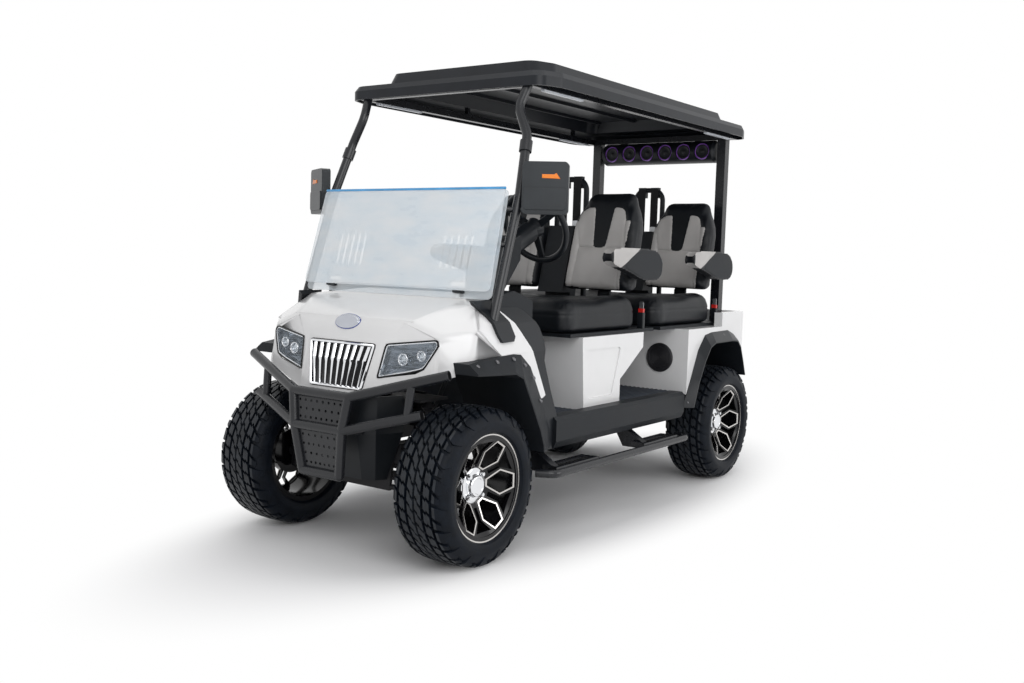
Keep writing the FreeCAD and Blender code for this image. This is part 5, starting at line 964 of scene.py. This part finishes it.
def add_headlamps():
    outline = corners_cut(LAMP_OUTLINE, LAMP_CORNER)
    pieces = {
        "lamp_bezel": mesh_of(framed(outline, LAMP_BEZEL), deep_black),
        "lamp_line": mesh_of(framed(shrunk(outline, LINE_INSET), LAMP_LINE), chrome),
        "lamp_bowl": mesh_of(plated(shrunk(outline, BOWL_INSET), LAMP_BOWL), reflector),
        "lamp_fins": mesh_of(lamp_fins(), reflector),
        "lamp_lens": mesh_of(plated(shrunk(outline, LENS_INSET), LAMP_LENS), lens_clear, math.radians(40)),
    }
    turns = [math.pi / 2 * step / EYE_STEPS for step in range(EYE_STEPS)]
    eye = turned([(0, AXIS)] + [(EYE_HEIGHT * math.sin(turn), math.cos(turn)) for turn in turns]
                 + [(EYE_HEIGHT, AXIS)], 32, projector_glass)
    ring = turned(PROJECTOR_RING, 40, chrome, closed=True)
    ahead = Matrix.Rotation(-math.pi / 2, 4, "Z")
    for side, sign in SIDES.items():
        for kind, mesh in pieces.items():
            stands_in = kind == "lamp_lens" and sign > 0
            baked(f"{kind}_{side}", mesh, flip(sign), "cart",
                  "headlamps" if stands_in else None)
        for number, (x, z, radius) in enumerate(PROJECTORS):
            centre = Matrix.Translation((sign * x, nose_y(x, z) + PROJECTOR_DEPTH, z)) @ ahead
            placed(f"projector_ring_{side}_{number}", ring, centre @ Matrix.Diagonal((1, radius, radius, 1)))
            placed(f"projector_glass_{side}_{number}", eye, centre @ Matrix.Translation(EYE_SHIFT)
                   @ Matrix.Diagonal((1, radius * EYE_SHARE, radius * EYE_SHARE, 1)))


def badge_mesh(section, material):
    half_x, half_y = BADGE_HALF
    return mesh_of(lofted([[(x, y, height) for x, y in ellipse(half_x + grow, half_y + grow, BADGE_TURNS)]
                           for height, grow in section]), material)


def add_badge():
    """Plain oval boss on the hood with a coloured rim."""
    place = Matrix.Translation(BADGE_PLACE) @ Matrix.Rotation(BADGE_SLOPE, 4, "X")
    placed("badge_disc", badge_mesh(BADGE_DISC, badge_silver), place)
    placed("badge_rim", badge_mesh(BADGE_RIM, badge_blue), place)


# ---- Fasteners and tube ends ----

# Bolts on the wheel arches, as (distance behind the axle, height)
ARCH_BOLTS = {
    "front": [(-0.062, 0.769), (0.055, 0.779), (0.160, 0.783), (0.236, 0.756), (0.298, 0.700), (0.352, 0.605)],
    "rear": [(-0.445, 0.465), (-0.372, 0.595), (-0.300, 0.715), (-0.215, 0.776), (-0.05, 0.787), (0.07, 0.775),
             (0.165, 0.690)],
}
BOLT_X = 0.5705
BOLT_DROP = 0.010
BOLT_WAY = (0.75, 0.66)
BOLT_RADIUS = 0.0065
# Domed head on a washer, as shares of the bolt's radius
BOLT_PROFILE = [(-0.3, 1.35), (0.08, 1.35), (0.12, 1.28), (0.12, 1.0), (0.35, 0.98), (0.55, 0.8), (0.62, 0.45),
                (0.40, 0.42), (0.38, 0.0005)]
GUARD_TIPS = [((0.522, -1.2690, 0.730), (0.147, -1.3930, 0.624)), ((0.434, -1.3120, 0.580), (0.126, -1.4050, 0.497))]
MOUTH_PROFILE = [(-0.010, 0.0192), (0.0008, 0.0192), (0.0015, 0.0180), (0.0008, 0.0166), (-0.002, 0.0160)]
# A deep black disc at each open tube end: painted shade standing in for the dark inside of the tube
TUBE_SHADE_DISC_PROFILE = [(0.0006, 0.0164), (0.0006, AXIS)]


def add_fasteners():
    bolt = turned([(x * BOLT_RADIUS, share * BOLT_RADIUS) for x, share in BOLT_PROFILE], 20, steel_dark)
    for end, axle in AXLES.items():
        for side, sign in SIDES.items():
            for number, (run, z) in enumerate(ARCH_BOLTS[end]):
                placed(f"flare_bolt_{end}_{side}_{number}", bolt,
                       facing((sign * BOLT_X, axle + run, z - BOLT_DROP), (sign * BOLT_WAY[0], 0, BOLT_WAY[1])))
    mouth = turned(MOUTH_PROFILE, 32, powder_black)
    # The deep black disc at each tube's mouth is painted shade for the tube's dark inside
    shade_disc = turned(TUBE_SHADE_DISC_PROFILE, 32, deep_black)
    for side, sign in SIDES.items():
        for number, (tip, root) in enumerate(GUARD_TIPS):
            end, start = [Vector((sign * x, y, z)) for x, y, z in (tip, root)]
            placed(f"tube_mouth_{side}_{number}", mouth, facing(end, end - start))
            placed(f"tube_shade_disc_{side}_{number}", shade_disc, facing(end, end - start))


# ---- Speakers ----

RING_PROFILE = [(0.002, 0.0445), (0.005, 0.043), (0.005, 0.0395), (0.002, 0.038), (-0.004, 0.0395), (-0.004, 0.0445)]
CONE_PROFILE = [(0.001, 0.0385), (0.004, 0.036), (0.004, 0.033), (0.001, 0.031), (-0.006, 0.014), (-0.001, 0.012),
                (0.002, 0.006), (0.003, AXIS)]
COVER_RIM = [(-0.010, 0.0740), (0.001, 0.0740), (0.0055, 0.0715), (0.0075, 0.0660), (0.0060, 0.0610),
             (0.0070, 0.0590), (0.0070, 0.0550), (0.003, 0.053)]
COVER_GROOVES = 6
GROOVE_START = 0.050
GROOVE_PITCH = 0.008
# One groove's ridge as (sideways place, distance inwards)
GROOVE_RIDGE = [(0.0035, 0), (0.0045, 0.002), (0.0035, 0.004)]
BAR_SPEAKERS = 6
BAR_SPAN = 0.692
BAR_PLACE = (REAR_AXLE + 0.179, 1.772)
COVER_PLACE = (0.400, FRONT_AXLE + 1.6775, 0.668)


def add_speakers():
    """Rings and cones in the sound bar's wells, and grooved covers in the seat base."""
    glow = turned(RING_PROFILE, 40, violet_ring, closed=True)
    cone = turned(CONE_PROFILE, 40, cone_black)
    for number in range(BAR_SPEAKERS):
        place = facing((BAR_SPAN * ((number + 0.5) / BAR_SPEAKERS - 0.5), *BAR_PLACE), (0, -1, 0))
        placed(f"speaker_ring_{number}", glow, place)
        placed(f"speaker_cone_{number}", cone, place)
    profile = list(COVER_RIM)
    for groove in range(COVER_GROOVES):
        radius = GROOVE_START - groove * GROOVE_PITCH
        profile += [(x, radius - inwards) for x, inwards in GROOVE_RIDGE]
    cover = turned(profile + [(0.0035, AXIS)], 48, cone_black)
    for side, sign in SIDES.items():
        x, y, z = COVER_PLACE
        placed(f"speaker_cover_{side}", cover, facing((sign * x, y, z), (0, -1, 0)))


# ---- Floor mats and step pads ----

MATS = {"front": (-0.615, -0.335), "rear": (0.045, 0.570)}
MAT_HALF = 0.485
MAT_RIBS = 38
MAT_FOOT, MAT_VALLEY, MAT_CREST = 0.5004, 0.5035, 0.5062
# One rib's corners, as (share of its width, height)
MAT_RIB = [(0, MAT_VALLEY), (0.15, MAT_CREST), (0.45, MAT_CREST), (0.6, MAT_VALLEY)]
STEP_FRONT = FRONT_AXLE + 0.352
STEP_LENGTH = 1.238
STEP_PADS = (0.17, 0.76)
STEP_RIBS = 13
STEP_RIB_PITCH = 0.021
STEP_RIB_PLACE = (0.5965, 0.3185)
STEP_RIB_SIZE = (0.036, 0.008, 0.005)


def add_floor_mats():
    """Ribbed mats on the floor ahead of both rows."""
    width = 2 * MAT_HALF / MAT_RIBS
    section = [(-MAT_HALF, MAT_FOOT), (MAT_HALF, MAT_FOOT), (MAT_HALF, MAT_VALLEY)]
    for rib in range(MAT_RIBS):
        section += [(MAT_HALF - (rib + 0.2 + share) * width, z) for share, z in MAT_RIB]
    section.append((-MAT_HALF, MAT_VALLEY))
    for row, ends in MATS.items():
        loops = [[(x, y, z) for x, z in section] for y in ends]
        placed(f"floor_mat_{row}", mesh_of(lofted(loops), floor_mat, math.radians(20)), Matrix())


def bevelled_boxes(size, places, bevel, segments, material):
    """Boxes of one size with their edges rounded, as one mesh."""
    bm = bmesh.new()
    for place in places:
        bmesh.ops.create_cube(bm, size=1, matrix=Matrix.Translation(place) @ Matrix.Diagonal((*size, 1)))
    bmesh.ops.bevel(bm, geom=list(bm.edges), offset=bevel, segments=segments, profile=0.5, affect="EDGES")
    return mesh_of(bm, material)


def add_step_pads():
    """Ribs across the pads of the side steps."""
    x, z = STEP_RIB_PLACE
    places = [(x, STEP_FRONT + STEP_LENGTH * share + STEP_RIB_PITCH * (rib - STEP_RIBS // 2), z)
              for share in STEP_PADS for rib in range(STEP_RIBS)]
    ribs = bevelled_boxes(STEP_RIB_SIZE, places, 0.0012, 2, rubber_pad)
    for side, sign in SIDES.items():
        baked(f"step_ribs_{side}", ribs, flip(sign))


# ---- Mirrors, pane and buckles ----

MIRROR_PLACE = (0.620, -0.8415, 0)
MIRROR_ALONG = (0.883, 0.470, 0)
INDICATOR = [(-0.012, 1.4620), (0.058, 1.4600), (0.043, 1.4815), (0.034, 1.4765), (-0.012, 1.4765)]
MIRROR_SKIRT = [(-0.074, 1.3420), (0.074, 1.3420), (0.0815, 1.3500), (0.0815, 1.4180), (0.0760, 1.4250),
                (-0.0760, 1.4250), (-0.0815, 1.4180), (-0.0815, 1.3500)]
# How far a mirror's details start behind its front, and their softened edge as (drop, inset)
MIRROR_ROOT = -0.002
MIRROR_EDGE = (0.0012, 0.0015)
PANE_TILT = math.radians(-15)
PANE_EDGE = ((0.968, 0.0085, 0.010), (0, -0.9060, 1.4225))
PANE_CLIPS = [(-0.350, -0.9965, 1.020), (0.340, -0.9965, 1.018)]
PANE_CLIP_SIZE = (0.052, 0.026, 0.010)
PANE_FOOT_SIZE = (0.020, 0.014, 0.020)
PANE_FOOT_SHIFT = (0.010, 0.006, -0.010)
BUCKLE_X, BUCKLE_RUN = 0.474, 0.108
# The buckle case's section, as (height, growth)
BUCKLE_SECTION = [(0.836, 0.0012), (0.840, 0.0022), (0.908, 0.0022), (0.912, 0.0010)]
# Cases and latch plates as (half width, half depth or height, corner radius)
BUCKLE_CASE = (0.0135, 0.0085, 0.003)
LATCH_PLATE = (0.011, 0.018, 0.005)
LATCH_HALF = 0.0015
LATCH_Z = 0.944
STRAP_LATCH = (0.040, 0.183, 1.330)
STRAP_LATCH_WIDTH = 1.6


def add_mirror_details():
    """Arrow indicator and raised lower half on each mirror's front."""
    origin = Vector(MIRROR_PLACE)
    along = Vector(MIRROR_ALONG).normalized()
    ahead = along.cross(Vector((0, 0, 1)))
    drop, soft = MIRROR_EDGE
    for kind, outline, material, rise in (("mirror_indicator", INDICATOR, amber_lens, 0.0022),
                                          ("mirror_skirt", MIRROR_SKIRT, mirror_shell, 0.005)):
        loops = [[origin + along * x + ahead * height + Vector((0, 0, z)) for x, z in shrunk(outline, inset)]
                 for height, inset in ((MIRROR_ROOT, 0), (rise - drop, 0), (rise, soft))]
        data = mesh_of(lofted(loops), material)
        for side, sign in SIDES.items():
            baked(f"{kind}_{side}", data, flip(sign))


def rounded_bar(name, material, size, place):
    """Box with rounded edges, tipped as the pane is."""
    data = bevelled_boxes(size, [(0, 0, 0)], min(size) * 0.3, 3, material)
    placed(name, data, Matrix.Translation(place) @ Matrix.Rotation(PANE_TILT, 4, "X"))


def add_pane_trim():
    """Blue film along the pane's upper edge and the clips at its lower edge."""
    rounded_bar("pane_edge", edge_film, *PANE_EDGE)
    for number, place in enumerate(PANE_CLIPS):
        rounded_bar(f"pane_clip_{number}", smooth_plastic, PANE_CLIP_SIZE, place)
        rounded_bar(f"pane_clip_foot_{number}", deep_black, PANE_FOOT_SIZE, Vector(place) + Vector(PANE_FOOT_SHIFT))


def add_buckle_latches():
    """Black cases and steel latch plates on the belt buckles, and latch plates on the straps."""
    half_x, half_y, radius = BUCKLE_CASE
    case = mesh_of(lofted([[(x, y, z) for x, y in rounded_loop(half_x + grow, half_y + grow, radius, 5)]
                           for z, grow in BUCKLE_SECTION]), smooth_plastic)
    latch = mesh_of(lofted([[(x, y, z) for x, z in rounded_loop(*LATCH_PLATE, 5)]
                            for y in (-LATCH_HALF, LATCH_HALF)]), steel)
    for corner, foot, sign in corners(ROWS):
        x, y = sign * BUCKLE_X, foot + BUCKLE_RUN
        placed(f"buckle_case_{corner}", case, Matrix.Translation((x, y, 0)))
        placed(f"buckle_latch_{corner}", latch, Matrix.Translation((x, y, LATCH_Z)))
        strap = Matrix.Translation((sign * STRAP_LATCH[0], foot + STRAP_LATCH[1], STRAP_LATCH[2]))
        placed(f"strap_latch_{corner}", latch, strap @ Matrix.Diagonal((STRAP_LATCH_WIDTH, 1, 1, 1)))


# ---- Camera, lamps and floor ----

CAMERA_PLACE = (2.83254, -4.12021, 1.17022)
CAMERA_RIGHT = (0.81159316, 0.58347846, 0.02948603)
CAMERA_UP = (-0.07314304, 0.05140623, 0.99599573)
CAMERA_BACK = (0.57962629, -0.81050002, 0.08439834)
CAMERA_LENS = 36.234
CAMERA_SENSOR = 36
# Soft lamps as (place, target, size, power)
LAMPS = {
    "key": ((3.4, -3.6, 3.1), (0, 0, 0.6), (3.2, 3.0), 82),
    "top": ((-0.5, 0.3, 5.0), (0, 0, 0.6), (4.5, 4.5), 62),
    "side": ((4.8, 1.3, 1.9), (0, 0.2, 0.7), (3.0, 2.4), 58),
}
WORLD_LIGHT = 0.5
FLOOR_RADIUS = 14
FLOOR_TURNS = 48
FLOOR_Z = -0.001
FLOOR_COLOUR = (0.93, 0.93, 0.94)
# The floor shows its shadow within the first reach and is white beyond the second, in stretched metres
FLOOR_CLEAR = (0.98, 1.55)
FLOOR_STRETCH = (1.6, 0.62, 0)


def add_camera():
    data = bpy.data.cameras.new("camera")
    data.lens = CAMERA_LENS
    data.sensor_width = CAMERA_SENSOR
    camera = linked("camera", data)
    axes = Matrix((CAMERA_RIGHT, CAMERA_UP, CAMERA_BACK)).transposed()
    camera.matrix_world = Matrix.Translation(CAMERA_PLACE) @ axes.to_4x4()
    bpy.context.scene.camera = camera


def add_lamps():
    for name, (place, target, size, power) in LAMPS.items():
        data = bpy.data.lights.new(name, "AREA")
        data.shape = "RECTANGLE"
        data.size, data.size_y = size
        data.energy = power
        lamp = linked(name, data)
        lamp.location = place
        lamp.rotation_euler = (Vector(target) - Vector(place)).to_track_quat("-Z", "Y").to_euler()


def seen_directly(tree):
    """1 for camera, glossy and transmission rays."""
    path = node(tree, "ShaderNodeLightPath")
    total = path.outputs["Is Camera Ray"]
    for name in ("Is Glossy Ray", "Is Transmission Ray"):
        total = combined(tree, "MAXIMUM", total, path.outputs[name])
    return total


def set_world():
    """White where seen, softer where it lights the cart."""
    world = bpy.data.worlds.new("studio")
    world.use_nodes = True
    tree = world.node_tree
    background = tree.nodes["Background"]
    background.inputs["Color"].default_value = (1, 1, 1, 1)
    strength = node(tree, "ShaderNodeMapRange", Value=seen_directly(tree), To_Min=WORLD_LIGHT, To_Max=1.0)
    tree.links.new(strength.outputs["Result"], background.inputs["Strength"])
    bpy.context.scene.world = world


def add_floor():
    """Pale floor that keeps the shadow near the cart and fades to white away from it."""
    mesh = bpy.data.meshes.new("floor")
    mesh.from_pydata([(x, y, FLOOR_Z) for x, y in ellipse(FLOOR_RADIUS, FLOOR_RADIUS, FLOOR_TURNS)], [],
                     [tuple(range(FLOOR_TURNS))])
    floor = linked("floor", mesh)
    material, shader = principled("floor_white", FLOOR_COLOUR, 0.9)
    shader.inputs["Specular IOR Level"].default_value = 0.0
    tree = material.node_tree
    length = node(tree, "ShaderNodeVectorMath", Vector=object_place(tree, FLOOR_STRETCH))
    length.operation = "LENGTH"
    fade = node(tree, "ShaderNodeMapRange", Value=length.outputs["Value"], From_Min=FLOOR_CLEAR[0],
                From_Max=FLOOR_CLEAR[1])
    fade.interpolation_type = "SMOOTHSTEP"
    white = combined(tree, "MULTIPLY", fade.outputs["Result"], seen_directly(tree))
    glow = node(tree, "ShaderNodeEmission")
    mix = node(tree, "ShaderNodeMixShader", Fac=white)
    tree.links.new(shader.outputs["BSDF"], mix.inputs[1])
    tree.links.new(glow.outputs["Emission"], mix.inputs[2])
    tree.links.new(mix.outputs["Shader"], tree.nodes["Material Output"].inputs["Surface"])
    mesh.materials.append(material)


dress_nodes()
add_wheels()
add_seats()
add_armrests()
add_cowl()
add_grille()
add_headlamps()
add_badge()
add_fasteners()
add_speakers()
add_floor_mats()
add_step_pads()
add_buckle_latches()
add_mirror_details()
add_pane_trim()
add_camera()
add_lamps()
set_world()
add_floor()
bpy.context.scene.view_settings.view_transform = "Standard"
